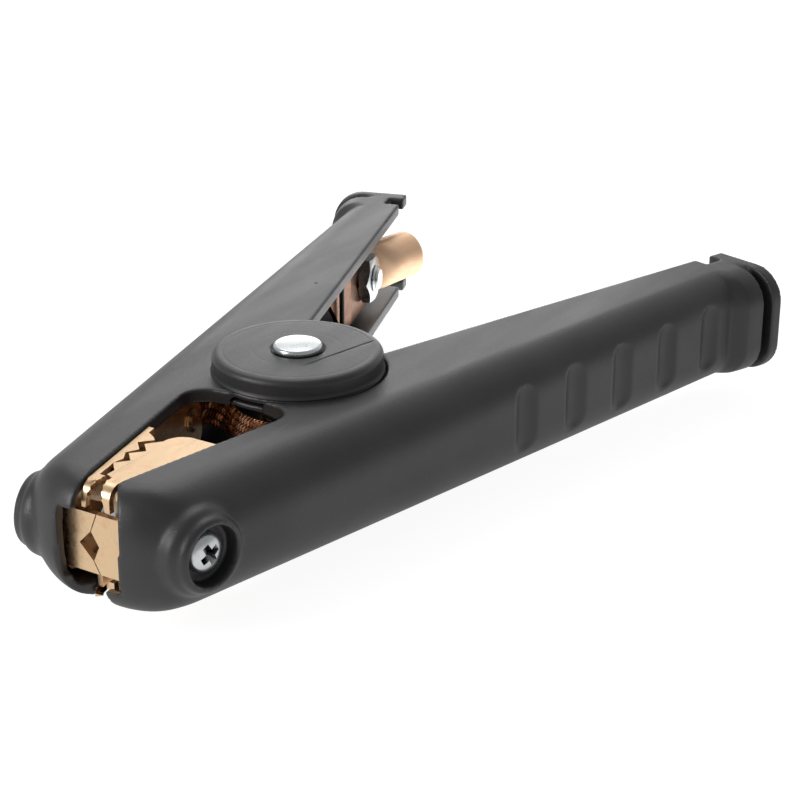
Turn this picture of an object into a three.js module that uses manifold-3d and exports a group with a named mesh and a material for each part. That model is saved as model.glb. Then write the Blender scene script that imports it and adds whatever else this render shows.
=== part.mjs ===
// Insulated heavy-duty alligator clamp for a battery lead, jaws closed.
//
// Millimetres. The origin is on the pivot's axis, at the flat foot of the rivet. +X runs back to the tails,
// the jaws are at -X, +Z runs up the rivet. The cable handle is on the +Y side, the plain handle on -Y.
// Everything is drawn about mid height, and the finished clamp is raised by half its height at the end.
// The two handle shells are one moulding: the plain one is the cable one turned over about X.
import * as THREE from 'three';
import { mergeVertices } from 'three/addons/utils/BufferGeometryUtils.js';
import Module from 'manifold-3d';

const wasm = await Module();
wasm.setup();

// ---------------------------------------------------------------- driving dimensions
const GAP = 0.3; // clearance between neighbours that are cut to each other
const TOUCH = 0.1; // gap left where two pieces bear on each other

const SHELL_TOP = 15.1; // half height of a shell
const PLATE = 3.6; // thickness of its flat top and bottom plates
const WALL = 3.0; // thickness of its outer wall
const NOSE_X = -81; // foremost point of a shell
const INNER_START = 5.75; // the inner edge behind the pivot: y = INNER_START + INNER_SLOPE * x
const INNER_SLOPE = 0.345;
const OUTER_START = 39.6; // the outer wall: y = OUTER_START + OUTER_SLOPE * x
const OUTER_SLOPE = 0.2175;
const NOSE_PLAN_RADIUS = 14; // rounding of the nose seen from above
const NOSE_SIDE_RADIUS = 9; // rounding of the nose seen from the side
const OUTER_SKIN = {
  noseX: NOSE_X, planRadius: NOSE_PLAN_RADIUS, sideRadius: NOSE_SIDE_RADIUS, wallInset: 0, plateInset: 0 };
const CAVITY = { noseX: NOSE_X + 2.8, planRadius: 11.5, sideRadius: 1.5, wallInset: WALL, plateInset: PLATE };
const CORNER_STEPS = 5; // facets in each rounded corner of a section
const NOSE_STEPS = 6;
const FRONT_CORNER = new THREE.Vector2(-74.2, 4.2); // the plate's inner corner at the nose
const MOUTH_CORNER = new THREE.Vector2(-24.6, 14.6); // the plate's corner where the front opening ends
const WINDOW_EDGE = 8.4; // the window in the nose reaches out to this y
const WINDOW_HALF_HEIGHT = 8.7;

const EAR_RADIUS = 21.3; // round ears that overlap at the pivot
const EAR_SPLIT = 0.2; // gap between the two ears on one side
const PIVOT_BORE = 4.3;

const TAIL = new THREE.Vector2(135.5, 52.1); // inner rear corner of a shell
const TAIL_ANGLE = THREE.MathUtils.degToRad(17); // direction of the handle at its tail
const FLANGE_THICKNESS = 3.3;
const GROOVE_WIDTH = 2.4;
const TAB_LENGTH = 5.0;
const SLOT_LENGTH = 5.6;
const SLOT_DEPTH = 4.6;

const GRIP_COUNT = 5;
const GRIP_FIRST_X = 32;
const GRIP_PITCH = 18.6;
const GRIP_WIDTH = 8;
const GRIP_DEPTH = 1.3;
const GRIP_HALF_HEIGHT = 10.5;

const SHEET = 1.5; // thickness of the pressed copper
const WEB_START = new THREE.Vector2(-77, 8.9); // front end of a jaw's web, inner face
const WEB_SLOPE = 0.2;
const JAW_TOP = 14.2; // outside of the toothed strips
const CHANNEL_TOP = 11.1; // outside of the channel below the shell's plates
const JAW_REAR_X = -46;
const TAIL_END_X = -10.5;
const TOOTH_PITCH = 5.75;
const TOOTH_COUNT = 3;
const TOOTH_REAR_X = -51.2; // rearmost tooth tip of the cable jaw
const FACE_HALF_HEIGHT = 7.3; // half height of a jaw's front face

const SCREW_U = 10.8; // the jaw screw's place along the web
const SCREW_DROP = 0.8; // and below mid height on the cable side
const SCREW_RIM = 15.1; // height of the screw boss's rim above the web's inner face
const SCREW_SINK = 1.2; // depth of the screw head below that rim
const BOSS_RADIUS = 8.7;
const RECESS_RADIUS = 7;
const PAN_HEAD_RADIUS = 4.7;
const PAN_HEAD_HEIGHT = 3;
const M5_RADIUS = 2.5;
const M5_ACROSS_FLATS = 8;

const CAP_RADIUS = 21;
const CAP_THICKNESS = 4.8;
const RIVET_RADIUS = 4;
const RIVET_HEAD_RADIUS = 6.06;
const RIVET_HEAD_HEIGHT = 1.7;
const RIVET_FLAT_RADIUS = 3.5; // flat in the middle of each head
const SLEEVE_RADIUS = 6.2;
const HALF_HEIGHT = SHELL_TOP + CAP_THICKNESS + 2 * TOUCH + RIVET_HEAD_HEIGHT; // of the whole clamp

const SPRING_RADIUS = 8.6;
const SPRING_WIRE = 1.3; // wire radius
const SPRING_LEG_Z = 5.6;
const SPRING_LEG_LENGTH = 58;
const SPRING_LEG_ANGLE = THREE.MathUtils.degToRad(36);
const SPRING_TURNS = 3;

const STRAP_FOOT_END = -2; // the strap lies along the jaw's web up to this x
const STRAP_BEND = new THREE.Vector2(86, 41); // the strap's inner face where it bends to the lug
const POST_X = 77.5; // the post that keeps the strap in, inside the shell
const LUG_X = 99.3; // the lug bolt's place along X
const LUG_ANGLE = THREE.MathUtils.degToRad(18); // direction of the lug's palm
const LUG_PALM = 3;
const LOCK_WASHER = 1.6;
const BARREL_TILT = THREE.MathUtils.degToRad(29); // the barrel leans back in from the palm
const BARREL_END = new THREE.Vector2(24.7, -7.5); // centre of its open end, in the lug's frame
const BARREL_RADIUS = 7;
const BARREL_BORE_RADIUS = 5.2;
const BARREL_BORE_DEPTH = 12;
const M8_RADIUS = 4;
const M8_ACROSS_FLATS = 13;

const BRAID_WIDTH = 10;
const BRAID_THICKNESS = 1.8;
const BRAID_Z = 2;

// ---------------------------------------------------------------- materials
const finish = (color, roughness, metalness) => new THREE.MeshStandardMaterial({ color, roughness, metalness });
const blackPlastic = finish(0x2b2b2d, 0.62, 0);
const copper = finish(0xe0905e, 0.3, 1);
const braidedCopper = finish(0xb8683c, 0.5, 1);
const zinc = finish(0xc9ccd0, 0.35, 1);
const springSteel = finish(0x6f6a66, 0.4, 1);

// ---------------------------------------------------------------- geometry helpers
const vec = (x, y) => new THREE.Vector2(x, y);

/** A closed three.js geometry as a manifold solid. */
function solid(geometry) {
  const bare = geometry.clone();
  for (const name of Object.keys(bare.attributes)) {
    if (name !== 'position') bare.deleteAttribute(name);
  }
  const merged = mergeVertices(bare, 1e-4);
  const kept = [];
  const index = merged.index.array;
  for (let i = 0; i < index.length; i += 3) {
    const [a, b, c] = [index[i], index[i + 1], index[i + 2]];
    if (a !== b && b !== c && c !== a) kept.push(a, b, c);
  }
  return new wasm.Manifold(new wasm.Mesh({
    numProp: 3,
    vertProperties: new Float32Array(merged.attributes.position.array),
    triVerts: new Uint32Array(kept),
  }));
}

/** A manifold solid as a three.js geometry. */
function geometryOf(body) {
  const mesh = body.getMesh();
  const geometry = new THREE.BufferGeometry();
  geometry.setAttribute('position', new THREE.BufferAttribute(mesh.vertProperties, 3));
  geometry.setIndex(new THREE.BufferAttribute(mesh.triVerts, 1));
  return geometry;
}

const join = (...bodies) => bodies.reduce((a, b) => a.add(b));
const cut = (body, ...tools) => tools.reduce((a, b) => a.subtract(b), body);

/** A plan outline raised from z0 to z1. */
function prism(points, z0, z1) {
  const geometry = new THREE.ExtrudeGeometry(new THREE.Shape(points), { depth: z1 - z0, bevelEnabled: false });
  geometry.translate(0, 0, z0);
  return solid(geometry);
}

/** A side outline (points are x, z) extended from y0 to y1. */
function sidePrism(points, y0, y1) {
  const shape = new THREE.Shape(points);
  const geometry = new THREE.ExtrudeGeometry(shape, { depth: y1 - y0, bevelEnabled: false });
  geometry.rotateX(Math.PI / 2);
  geometry.translate(0, y1, 0);
  return solid(geometry);
}

/** A front outline (points are y, z) extended from x0 to x1. */
function frontPrism(points, x0, x1) {
  const geometry = new THREE.ExtrudeGeometry(new THREE.Shape(points), { depth: x1 - x0, bevelEnabled: false });
  geometry.applyMatrix4(new THREE.Matrix4().makeBasis(
    new THREE.Vector3(0, 1, 0), new THREE.Vector3(0, 0, 1), new THREE.Vector3(1, 0, 0)));
  geometry.translate(x0, 0, 0);
  return solid(geometry);
}

function box(x0, x1, y0, y1, z0, z1) {
  const geometry = new THREE.BoxGeometry(x1 - x0, y1 - y0, z1 - z0);
  geometry.translate((x0 + x1) / 2, (y0 + y1) / 2, (z0 + z1) / 2);
  return solid(geometry);
}

/** A cylinder about Z. */
function disc(radius, z0, z1, segments = 32) {
  const geometry = new THREE.CylinderGeometry(radius, radius, z1 - z0, segments);
  geometry.rotateX(Math.PI / 2);
  geometry.translate(0, 0, (z0 + z1) / 2);
  return solid(geometry);
}

/** A turned body about Z; the profile's points are radius, z, from one end of the axis to the other. */
function turned(profile, segments = 32) {
  const geometry = new THREE.LatheGeometry(profile, segments);
  geometry.rotateX(Math.PI / 2);
  const body = solid(geometry);
  return body.volume() < 0 ? solid(flipped(geometry)) : body;
}

/** The same faces wound the other way. */
function flipped(geometry) {
  const copy = geometry.clone();
  const index = copy.index.array;
  for (let i = 0; i < index.length; i += 3) [index[i], index[i + 1]] = [index[i + 1], index[i]];
  return copy;
}

/** Points on a circular arc in a plane. */
function arc(cx, cy, radius, fromAngle, toAngle, steps) {
  const points = [];
  for (let i = 0; i <= steps; i += 1) {
    const angle = fromAngle + (toAngle - fromAngle) * (i / steps);
    points.push(vec(cx + radius * Math.cos(angle), cy + radius * Math.sin(angle)));
  }
  return points;
}

/** A hexagonal prism about Z with two flats facing +X and -X. */
function hexagon(acrossFlats, z0, z1) {
  return disc(acrossFlats / Math.sqrt(3), z0, z1, 6);
}

/** Joins equal rings of points into a closed skin, with a flat fan over each end. */
function loft(rings) {
  const count = rings[0].length;
  const positions = rings.flat().flatMap((point) => [point.x, point.y, point.z]);
  const index = [];
  for (let r = 0; r < rings.length - 1; r += 1) {
    for (let i = 0; i < count; i += 1) {
      const j = (i + 1) % count;
      const [a, b] = [r * count + i, r * count + j];
      index.push(a, a + count, b, b, a + count, b + count);
    }
  }
  const last = (rings.length - 1) * count;
  for (let i = 1; i < count - 1; i += 1) {
    index.push(0, i, i + 1);
    index.push(last, last + i + 1, last + i);
  }
  const geometry = new THREE.BufferGeometry();
  geometry.setAttribute('position', new THREE.Float32BufferAttribute(positions, 3));
  geometry.setIndex(index);
  const body = solid(geometry);
  return body.volume() < 0 ? solid(flipped(geometry)) : body;
}

// ---------------------------------------------------------------- frames of the parts
const innerEdge = (x) => INNER_START + INNER_SLOPE * x;
const outerWall = (x) => OUTER_START + OUTER_SLOPE * x;
const webFace = (x) => WEB_START.y + WEB_SLOPE * (x - WEB_START.x);
const mouthEdge = (x) => FRONT_CORNER.y
  + (MOUTH_CORNER.y - FRONT_CORNER.y) * ((x - FRONT_CORNER.x) / (MOUTH_CORNER.x - FRONT_CORNER.x));

/** Frame on a jaw's web: X along the web to the rear, Y along the clamp's height, Z out through the shell. */
const webAngle = Math.atan(WEB_SLOPE);
const webFrame = new THREE.Matrix4().makeBasis(
  new THREE.Vector3(Math.cos(webAngle), Math.sin(webAngle), 0),
  new THREE.Vector3(0, 0, -1),
  new THREE.Vector3(-Math.sin(webAngle), Math.cos(webAngle), 0));
webFrame.setPosition(WEB_START.x, WEB_START.y, 0);

/** Frame at a shell's tail: X along the handle to the rear, Y out to the wall, Z up. */
const tailFrame = new THREE.Matrix4().makeRotationZ(TAIL_ANGLE).setPosition(TAIL.x, TAIL.y, 0);

/** Frame on the lug bolt at the strap's inner face: X along the palm, Z out along the bolt to its head. */
const lugFrame = new THREE.Matrix4().makeBasis(
  new THREE.Vector3(Math.cos(LUG_ANGLE), Math.sin(LUG_ANGLE), 0),
  new THREE.Vector3(0, 0, -1),
  new THREE.Vector3(-Math.sin(LUG_ANGLE), Math.cos(LUG_ANGLE), 0));
lugFrame.setPosition(LUG_X, STRAP_BEND.y + (LUG_X - STRAP_BEND.x) * Math.tan(LUG_ANGLE), 0);

/** Frame of a jaw screw, raised off the web; the two jaws carry it on opposite sides of mid height. */
const screwFrame = (drop) => webFrame.clone().multiply(new THREE.Matrix4().makeTranslation(SCREW_U, drop, 0));

const placed = (body, frame) => body.transform(frame.elements);

// ---------------------------------------------------------------- handle shell
/** How far a nose's rounding has drawn a surface in at x. */
function noseDrop(x, noseX, radius) {
  const into = noseX + radius - x;
  return into <= 0 ? 0 : radius - Math.sqrt(Math.max(radius * radius - into * into, 0));
}

/** One D-shaped section at x of a skin: flat on the inner side, rounded on the outer side. */
function section(x, skin) {
  const top = SHELL_TOP - skin.plateInset - noseDrop(x, skin.noseX, skin.sideRadius);
  const outer = outerWall(x) - skin.wallInset - noseDrop(x, skin.noseX, skin.planRadius);
  const radius = Math.min(skinCorner(x) - skin.wallInset, top - 0.5);
  const inner = -EAR_RADIUS - 2;
  const outline = [
    vec(inner, -top), ...arc(outer - radius, -top + radius, radius, -Math.PI / 2, 0, CORNER_STEPS),
    ...arc(outer - radius, top - radius, radius, 0, Math.PI / 2, CORNER_STEPS), vec(inner, top)];
  return outline.map((point) => new THREE.Vector3(x, point.x, point.y));
}

/** A skin's solid: stations close together over the nose, then a few along the straight run. */
function skinBody(skin, endX) {
  const xs = [];
  for (let i = 0; i <= NOSE_STEPS; i += 1) {
    xs.push(skin.noseX + skin.planRadius * (1 - Math.cos((i / NOSE_STEPS) * (Math.PI / 2))));
  }
  return loft([...xs, -30, 20, 75, endX].map((x) => section(x, skin)));
}

/** Corner radius of the section, which falls from the nose to the tail. */
const skinCorner = (x) => THREE.MathUtils.mapLinear(x, NOSE_X, TAIL.x, 13.5, 8.5);

/** The shell's plan outline, without the round ear. */
function platePlan() {
  const earRear = 16;
  return [
    vec(NOSE_X - 3, FRONT_CORNER.y),
    FRONT_CORNER,
    vec(MOUTH_CORNER.x - 4, mouthEdge(MOUTH_CORNER.x - 4)),
    vec(MOUTH_CORNER.x - 0.2, MOUTH_CORNER.y - 1.4),
    vec(-22.2, 9.5),
    vec(-21.4, 4.5),
    vec(0, 0),
    vec(earRear, innerEdge(earRear)),
    vec(TAIL.x + 1, innerEdge(TAIL.x + 1)),
    vec(TAIL.x + 1, 90),
    vec(NOSE_X - 3, 90),
  ];
}

/** The window in the nose that the jaw's front face shows through, and the lower lip's bevelled corner. */
function noseOpenings() {
  const low = FRONT_CORNER.y - 1;
  const window = box(
    NOSE_X - 1, FRONT_CORNER.x - 1.5, low, WINDOW_EDGE, -WINDOW_HALF_HEIGHT, WINDOW_HALF_HEIGHT);
  const bevelPlan = [FRONT_CORNER, vec(NOSE_X - 3, WINDOW_EDGE + 2.2), vec(NOSE_X - 3, low)];
  const bevel = prism(bevelPlan, -SHELL_TOP - 1, -1);
  return join(window, bevel);
}

/** The two collars round the shell's tail: a sloping one in front, a groove, and the end one. */
function tailCollars() {
  const lean = TAIL_ANGLE - Math.atan(OUTER_SLOPE);
  const wallAtTail = (outerWall(TAIL.x) - TAIL.y) * Math.cos(TAIL_ANGLE - lean) / Math.cos(lean);
  const collar = (u0, u1, proud0, proud1) => {
    const rings = [[u0, proud0], [u1, proud1]].map(([u, proud]) => {
      const outer = wallAtTail - u * Math.tan(lean) + proud;
      const top = SHELL_TOP;
      const corner = skinCorner(TAIL.x + u) + 1;
      const ring = [new THREE.Vector3(u, 4, -top)];
      for (const p of arc(outer - corner, -top + corner, corner, -Math.PI / 2, 0, CORNER_STEPS)) {
        ring.push(new THREE.Vector3(u, p.x, p.y));
      }
      for (const p of arc(outer - corner, top - corner, corner, 0, Math.PI / 2, CORNER_STEPS)) {
        ring.push(new THREE.Vector3(u, p.x, p.y));
      }
      ring.push(new THREE.Vector3(u, 4, top));
      return ring;
    });
    return placed(loft(rings), tailFrame);
  };
  const endFront = -FLANGE_THICKNESS;
  const frontRear = endFront - GROOVE_WIDTH;
  const frontRim = frontRear - FLANGE_THICKNESS;
  return join(
    collar(endFront, 0, 6.1, 6.6),
    collar(frontRim, frontRear, 4.1, 4.7),
    collar(frontRim - 6, frontRim + 0.01, 0.3, 4.1));
}

/** One finger grip: an upright capsule that sinks into the outer wall. */
function gripCutter(x) {
  const radius = (GRIP_WIDTH * GRIP_WIDTH / 4 + GRIP_DEPTH * GRIP_DEPTH) / (2 * GRIP_DEPTH);
  const geometry = new THREE.CapsuleGeometry(radius, 2 * (GRIP_HALF_HEIGHT - GRIP_WIDTH / 2), 5, 24);
  geometry.rotateX(Math.PI / 2);
  const lean = Math.atan(OUTER_SLOPE);
  const reach = radius - GRIP_DEPTH;
  geometry.translate(x - reach * Math.sin(lean), outerWall(x) + reach * Math.cos(lean), 0);
  return solid(geometry);
}

function handleShell() {
  const outerSkin = skinBody(OUTER_SKIN, TAIL.x + 6);
  const innerSkin = skinBody(CAVITY, TAIL.x + 12);
  const rearCut = placed(box(0, 30, -90, 40, -40, 40), tailFrame);

  // Plates and walls, without the ears.
  const plates = prism(platePlan(), -SHELL_TOP - 1, SHELL_TOP + 1);
  let shell = cut(outerSkin.intersect(plates), innerSkin, noseOpenings());
  const inside = SHELL_TOP - PLATE;
  shell = cut(join(shell, tailCollars()), innerSkin, rearCut);

  // Ears: the top one is the outer half of the plate, the bottom one the inner half.
  const middle = (SHELL_TOP + inside) / 2;
  const clear = EAR_RADIUS + 0.5;
  shell = cut(shell, disc(clear, inside - 1, middle + EAR_SPLIT / 2, 40));
  shell = cut(shell, disc(clear, -SHELL_TOP - 1, -middle + EAR_SPLIT / 2, 40));
  const topEar = disc(EAR_RADIUS, middle + EAR_SPLIT / 2, SHELL_TOP, 40);
  const bottomEar = disc(EAR_RADIUS, -middle + EAR_SPLIT / 2, -inside, 40);
  const linkPlan = [vec(-24, 14), vec(24, 15.5), vec(24, 34), vec(-24, 34)];
  const linkAt = (z0, z1) => prism(linkPlan, z0, z1).intersect(disc(EAR_RADIUS + 3, z0, z1, 40));
  shell = join(
    shell, topEar, bottomEar,
    linkAt(middle + EAR_SPLIT / 2, SHELL_TOP),
    linkAt(-middle + EAR_SPLIT / 2, -inside));

  // Boss and sunk seat for the jaw screw.
  const boss = turned([
    vec(0, SHEET + GAP), vec(BOSS_RADIUS, SHEET + GAP), vec(BOSS_RADIUS, SCREW_RIM - 1.6),
    ...arc(BOSS_RADIUS - 1.2, SCREW_RIM - 1.2, 1.2, 0, Math.PI / 2, 2), vec(0, SCREW_RIM)], 28);
  const seat = SCREW_RIM - SCREW_SINK - PAN_HEAD_HEIGHT;
  const sink = disc(RECESS_RADIUS, seat, SCREW_RIM + 9, 28);
  const bore = disc(M5_RADIUS + 0.2, -5, seat + 1, 16);
  const frame = screwFrame(SCREW_DROP);
  shell = cut(join(shell, placed(boss, frame)), placed(sink, frame), placed(bore, frame));

  // Stop for the spring's leg, and the post that keeps the strap against the wall.
  const legDirection = new THREE.Vector2(Math.cos(SPRING_LEG_ANGLE), Math.sin(SPRING_LEG_ANGLE));
  const legTip = springStart().addScaledVector(legDirection, SPRING_LEG_LENGTH - 4);
  const stop = box(-3, 3, SPRING_WIRE + TOUCH, 9, -4, 4);
  const stopFrame = new THREE.Matrix4().makeRotationZ(SPRING_LEG_ANGLE)
    .setPosition(legTip.x, legTip.y, -SPRING_LEG_Z);
  const postTop = strapFace(POST_X) - GAP;
  const post = box(POST_X - 0.6, POST_X + 0.6, postTop - 1.6, postTop, -inside - 0.5, inside + 0.5);
  shell = join(shell, placed(stop, stopFrame).intersect(outerSkin), post);

  // Slot at the tail, pivot bore and finger grips.
  const slot = placed(box(-TAB_LENGTH - SLOT_LENGTH, -TAB_LENGTH, -4, SLOT_DEPTH, -20, 20), tailFrame);
  shell = cut(shell, slot, disc(PIVOT_BORE, -20, 20, 32));
  for (let i = 0; i < GRIP_COUNT; i += 1) shell = cut(shell, gripCutter(GRIP_FIRST_X + i * GRIP_PITCH));
  return shell;
}

// ---------------------------------------------------------------- jaws
/** The line that the two rows of teeth mesh about; it lies a little over to the cable side. */
const meshLine = (x) => 3.35 + 0.03 * (x - FRONT_CORNER.x);

/** Saw teeth from the front back to the last one; the offsets are measured from the mesh line. */
function teeth(evenOffset, oddOffset) {
  const points = [];
  for (let i = 2 * TOOTH_COUNT; i > 0; i -= 1) {
    const x = TOOTH_REAR_X - (i * TOOTH_PITCH) / 2;
    const y = meshLine(x) + (i % 2 === 0 ? evenOffset : oddOffset);
    points.push(vec(x, Math.min(y, mouthEdge(x) - 0.4 - SHEET)));
  }
  return points;
}

/** Parts of a jaw that both sides share: web with its tail, channel flanges and the joggles up to the strips. */
function jawChannel() {
  const away = SHEET / Math.cos(webAngle);
  const webPlan = [
    vec(WEB_START.x, WEB_START.y), vec(TAIL_END_X, webFace(TAIL_END_X)),
    vec(TAIL_END_X, webFace(TAIL_END_X) + away), vec(WEB_START.x, WEB_START.y + away)];
  const webSide = [
    vec(WEB_START.x - 1, -6.4), vec(-75.6, -9), vec(-70, -CHANNEL_TOP),
    vec(JAW_REAR_X, -CHANNEL_TOP), vec(JAW_REAR_X + 5, -8.8), vec(-17, -7.2),
    ...arc(TAIL_END_X - 5, -2, 5, -Math.PI / 2, 0, 4),
    ...arc(TAIL_END_X - 5, 2, 5, 0, Math.PI / 2, 4), vec(-17, 7.2),
    vec(JAW_REAR_X + 5, 8.8), vec(JAW_REAR_X, CHANNEL_TOP),
    vec(-70, CHANNEL_TOP), vec(-75.6, 9), vec(WEB_START.x - 1, 6.4)];
  const web = prism(webPlan, -CHANNEL_TOP, CHANNEL_TOP).intersect(sidePrism(webSide, -5, 40));

  const edge = (x, inset) => vec(x, mouthEdge(x) - inset);
  const front = FRONT_CORNER.x;
  const flangePlan = [
    edge(front + 2, 0.4 + SHEET), edge(JAW_REAR_X, 0.4 + SHEET),
    vec(JAW_REAR_X, webFace(JAW_REAR_X) + away / 2), vec(front + 2, webFace(front + 2) + away / 2)];
  const jogglePlan = [
    edge(front + 1, 0.4 + SHEET), edge(JAW_REAR_X, 0.4 + SHEET), edge(JAW_REAR_X, 0.4), edge(front + 1, 0.4)];
  const upper = join(
    prism(flangePlan, CHANNEL_TOP - SHEET, CHANNEL_TOP),
    prism(jogglePlan, CHANNEL_TOP - SHEET, JAW_TOP));
  return join(web, upper, upper.mirror([0, 0, 1]));
}

/** Tooth strip above and below, and the front face, joined to the channel. */
function jaw(stripPlan, facePlan, screwDrop) {
  const strip = prism(stripPlan, JAW_TOP - SHEET, JAW_TOP);
  const face = frontPrism(facePlan, WEB_START.x, WEB_START.x + SHEET);
  const screwHole = placed(disc(M5_RADIUS + 0.15, -3, 3, 16), screwFrame(screwDrop));
  const rivetHole = placed(disc(1.9, -3, 3, 14), tailRivetFrame());
  return cut(join(jawChannel(), strip, strip.mirror([0, 0, 1]), face), screwHole, rivetHole);
}

function cableJaw() {
  const outer = (x) => vec(x, mouthEdge(x) - 0.4);
  const strip = [
    outer(-74.6), vec(-75.6, 3.0), vec(-74.4, 1.7), vec(-71.2, 3.9), ...teeth(-0.1, 2.7),
    vec(TOOTH_REAR_X, 3.9), vec(-49.4, 6.2), vec(-48.2, 8.4), outer(-47.8)];
  const h = FACE_HALF_HEIGHT;
  const rootY = WEB_START.y + SHEET / 2;
  const face = [
    vec(rootY, h), vec(0.15, h), vec(2.05, 2.7), vec(5.2, -0.6),
    vec(1.65, -4.2), vec(-0.05, -h), vec(rootY, -h)];
  return jaw(strip, face, SCREW_DROP);
}

/** The plain jaw, drawn on the +Y side and turned to its own side later. */
function plainJaw() {
  const outer = (x) => vec(x, mouthEdge(x) - 0.4);
  const strip = [
    outer(-72.9), vec(-71, -1.4), ...teeth(-2.1, 0.6).map((point) => vec(point.x, -point.y)),
    vec(-50.8, -1.9), vec(-48.1, -1.1), vec(-46.6, 0.3), vec(-45.8, 2.4), outer(-45.8)];
  const h = FACE_HALF_HEIGHT;
  const rootY = WEB_START.y + SHEET / 2;
  const face = [
    vec(rootY, h), vec(0.15, h), vec(-1.75, 2.7), vec(0.3, -0.6),
    vec(-1.35, -4.2), vec(0.35, -h), vec(rootY, -h)];
  return jaw(strip, face, -SCREW_DROP);
}

// ---------------------------------------------------------------- jaw screws and nuts
/** Pan-head screw in the web's frame, with a cross recess. */
function jawScrew() {
  const seat = SCREW_RIM - SCREW_SINK - PAN_HEAD_HEIGHT;
  const crown = SCREW_RIM - SCREW_SINK;
  const body = turned([
    vec(0, -5.2), vec(M5_RADIUS - 0.5, -5.2), vec(M5_RADIUS - 0.02, -4.7), vec(M5_RADIUS - 0.02, seat + 0.05),
    vec(PAN_HEAD_RADIUS, seat + 0.05), vec(PAN_HEAD_RADIUS, seat + 1.1),
    vec(PAN_HEAD_RADIUS * 0.9, crown - 0.6), vec(PAN_HEAD_RADIUS * 0.66, crown - 0.1), vec(0, crown)], 20);
  const arm = box(-2.7, 2.7, -0.6, 0.6, crown - 1.6, crown + 1);
  const cross = join(arm, arm.rotate([0, 0, 90]));
  return cut(body, cross);
}

function jawNut() {
  return cut(hexagon(M5_ACROSS_FLATS, -4 - TOUCH, -TOUCH), disc(M5_RADIUS + 0.05, -5, 1, 16));
}

// ---------------------------------------------------------------- pivot
/** Round cap with a thin base ring, seated on the upper ears. */
function pivotCap() {
  const base = SHELL_TOP + TOUCH;
  const top = base + CAP_THICKNESS;
  const ring = turned([
    vec(RIVET_RADIUS + 0.1, base), vec(CAP_RADIUS + 0.35, base), vec(CAP_RADIUS + 0.35, base + 0.5),
    vec(CAP_RADIUS, base + 0.5), ...arc(CAP_RADIUS - 1.1, top - 1.1, 1.1, 0, Math.PI / 2, 3),
    vec(RIVET_RADIUS + 0.1, top), vec(RIVET_RADIUS + 0.1, base)], 40);
  return ring;
}

/** Rivet with a head at each end: a short rim, a rounded shoulder and a flat middle. */
function pivotRivet() {
  const under = HALF_HEIGHT - RIVET_HEAD_HEIGHT;
  const rim = 0.5;
  const shoulder = [];
  for (let i = 0; i <= 3; i += 1) {
    const angle = (i / 3) * (Math.PI / 2);
    shoulder.push(vec(
      RIVET_FLAT_RADIUS + (RIVET_HEAD_RADIUS - RIVET_FLAT_RADIUS) * Math.cos(angle),
      under + rim + (RIVET_HEAD_HEIGHT - rim) * Math.sin(angle)));
  }
  const topHalf = [vec(RIVET_RADIUS, under), vec(RIVET_HEAD_RADIUS, under), ...shoulder, vec(0, HALF_HEIGHT)];
  const bottomHalf = topHalf.map((point) => vec(point.x, -point.y)).reverse();
  return turned([...bottomHalf, ...topHalf], 28);
}

function pivotSleeve() {
  const inside = SHELL_TOP - PLATE - TOUCH;
  return cut(disc(SLEEVE_RADIUS, -inside, inside, 32), disc(RIVET_RADIUS + 0.1, -20, 20, 32));
}

// ---------------------------------------------------------------- spring
/** Where the spring's upper leg leaves the coil, on the +Y side. */
function springStart() {
  const angle = SPRING_LEG_ANGLE + Math.PI / 2;
  return new THREE.Vector2(SPRING_RADIUS * Math.cos(angle), SPRING_RADIUS * Math.sin(angle));
}

/** Leg, coil and leg as one path: the +Y leg is the low one, the -Y leg the high one. */
class SpringPath extends THREE.Curve {
  constructor() {
    super();
    this.startAngle = SPRING_LEG_ANGLE + Math.PI / 2;
    this.sweep = 2 * Math.PI * (SPRING_TURNS + 1) - 2 * this.startAngle;
    this.coil = this.sweep * SPRING_RADIUS;
    this.total = this.coil + 2 * SPRING_LEG_LENGTH;
  }

  getPoint(t) {
    const along = t * this.total;
    if (along > SPRING_LEG_LENGTH && along < SPRING_LEG_LENGTH + this.coil) {
      const share = (along - SPRING_LEG_LENGTH) / this.coil;
      const angle = this.startAngle + share * this.sweep;
      return new THREE.Vector3(
        SPRING_RADIUS * Math.cos(angle), SPRING_RADIUS * Math.sin(angle), (2 * share - 1) * SPRING_LEG_Z);
    }
    const first = along <= SPRING_LEG_LENGTH;
    const side = first ? 1 : -1;
    const out = first ? SPRING_LEG_LENGTH - along : along - SPRING_LEG_LENGTH - this.coil;
    const start = springStart();
    return new THREE.Vector3(
      start.x + out * Math.cos(SPRING_LEG_ANGLE),
      side * (start.y + out * Math.sin(SPRING_LEG_ANGLE)),
      -side * SPRING_LEG_Z);
  }
}

function torsionSpring() {
  const ring = new THREE.Shape();
  ring.absarc(0, 0, SPRING_WIRE, 0, 2 * Math.PI, false);
  return solid(new THREE.ExtrudeGeometry(ring, {
    extrudePath: new SpringPath(), steps: 66, curveSegments: 4, bevelEnabled: false }));
}

// ---------------------------------------------------------------- current path: braid, strap, lug
/** Frame on the tail rivet, in the same directions as the web's frame. */
function tailRivetFrame() {
  const along = (-15.6 - WEB_START.x) / Math.cos(webAngle);
  return webFrame.clone().multiply(new THREE.Matrix4().makeTranslation(along, -BRAID_Z, 0));
}

/** Height above the web's inner face of each layer under the tail rivet. */
const BRAID_FOOT = SHEET + TOUCH;
const STRAP_FOOT = BRAID_FOOT + BRAID_THICKNESS + 0.5;

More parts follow.
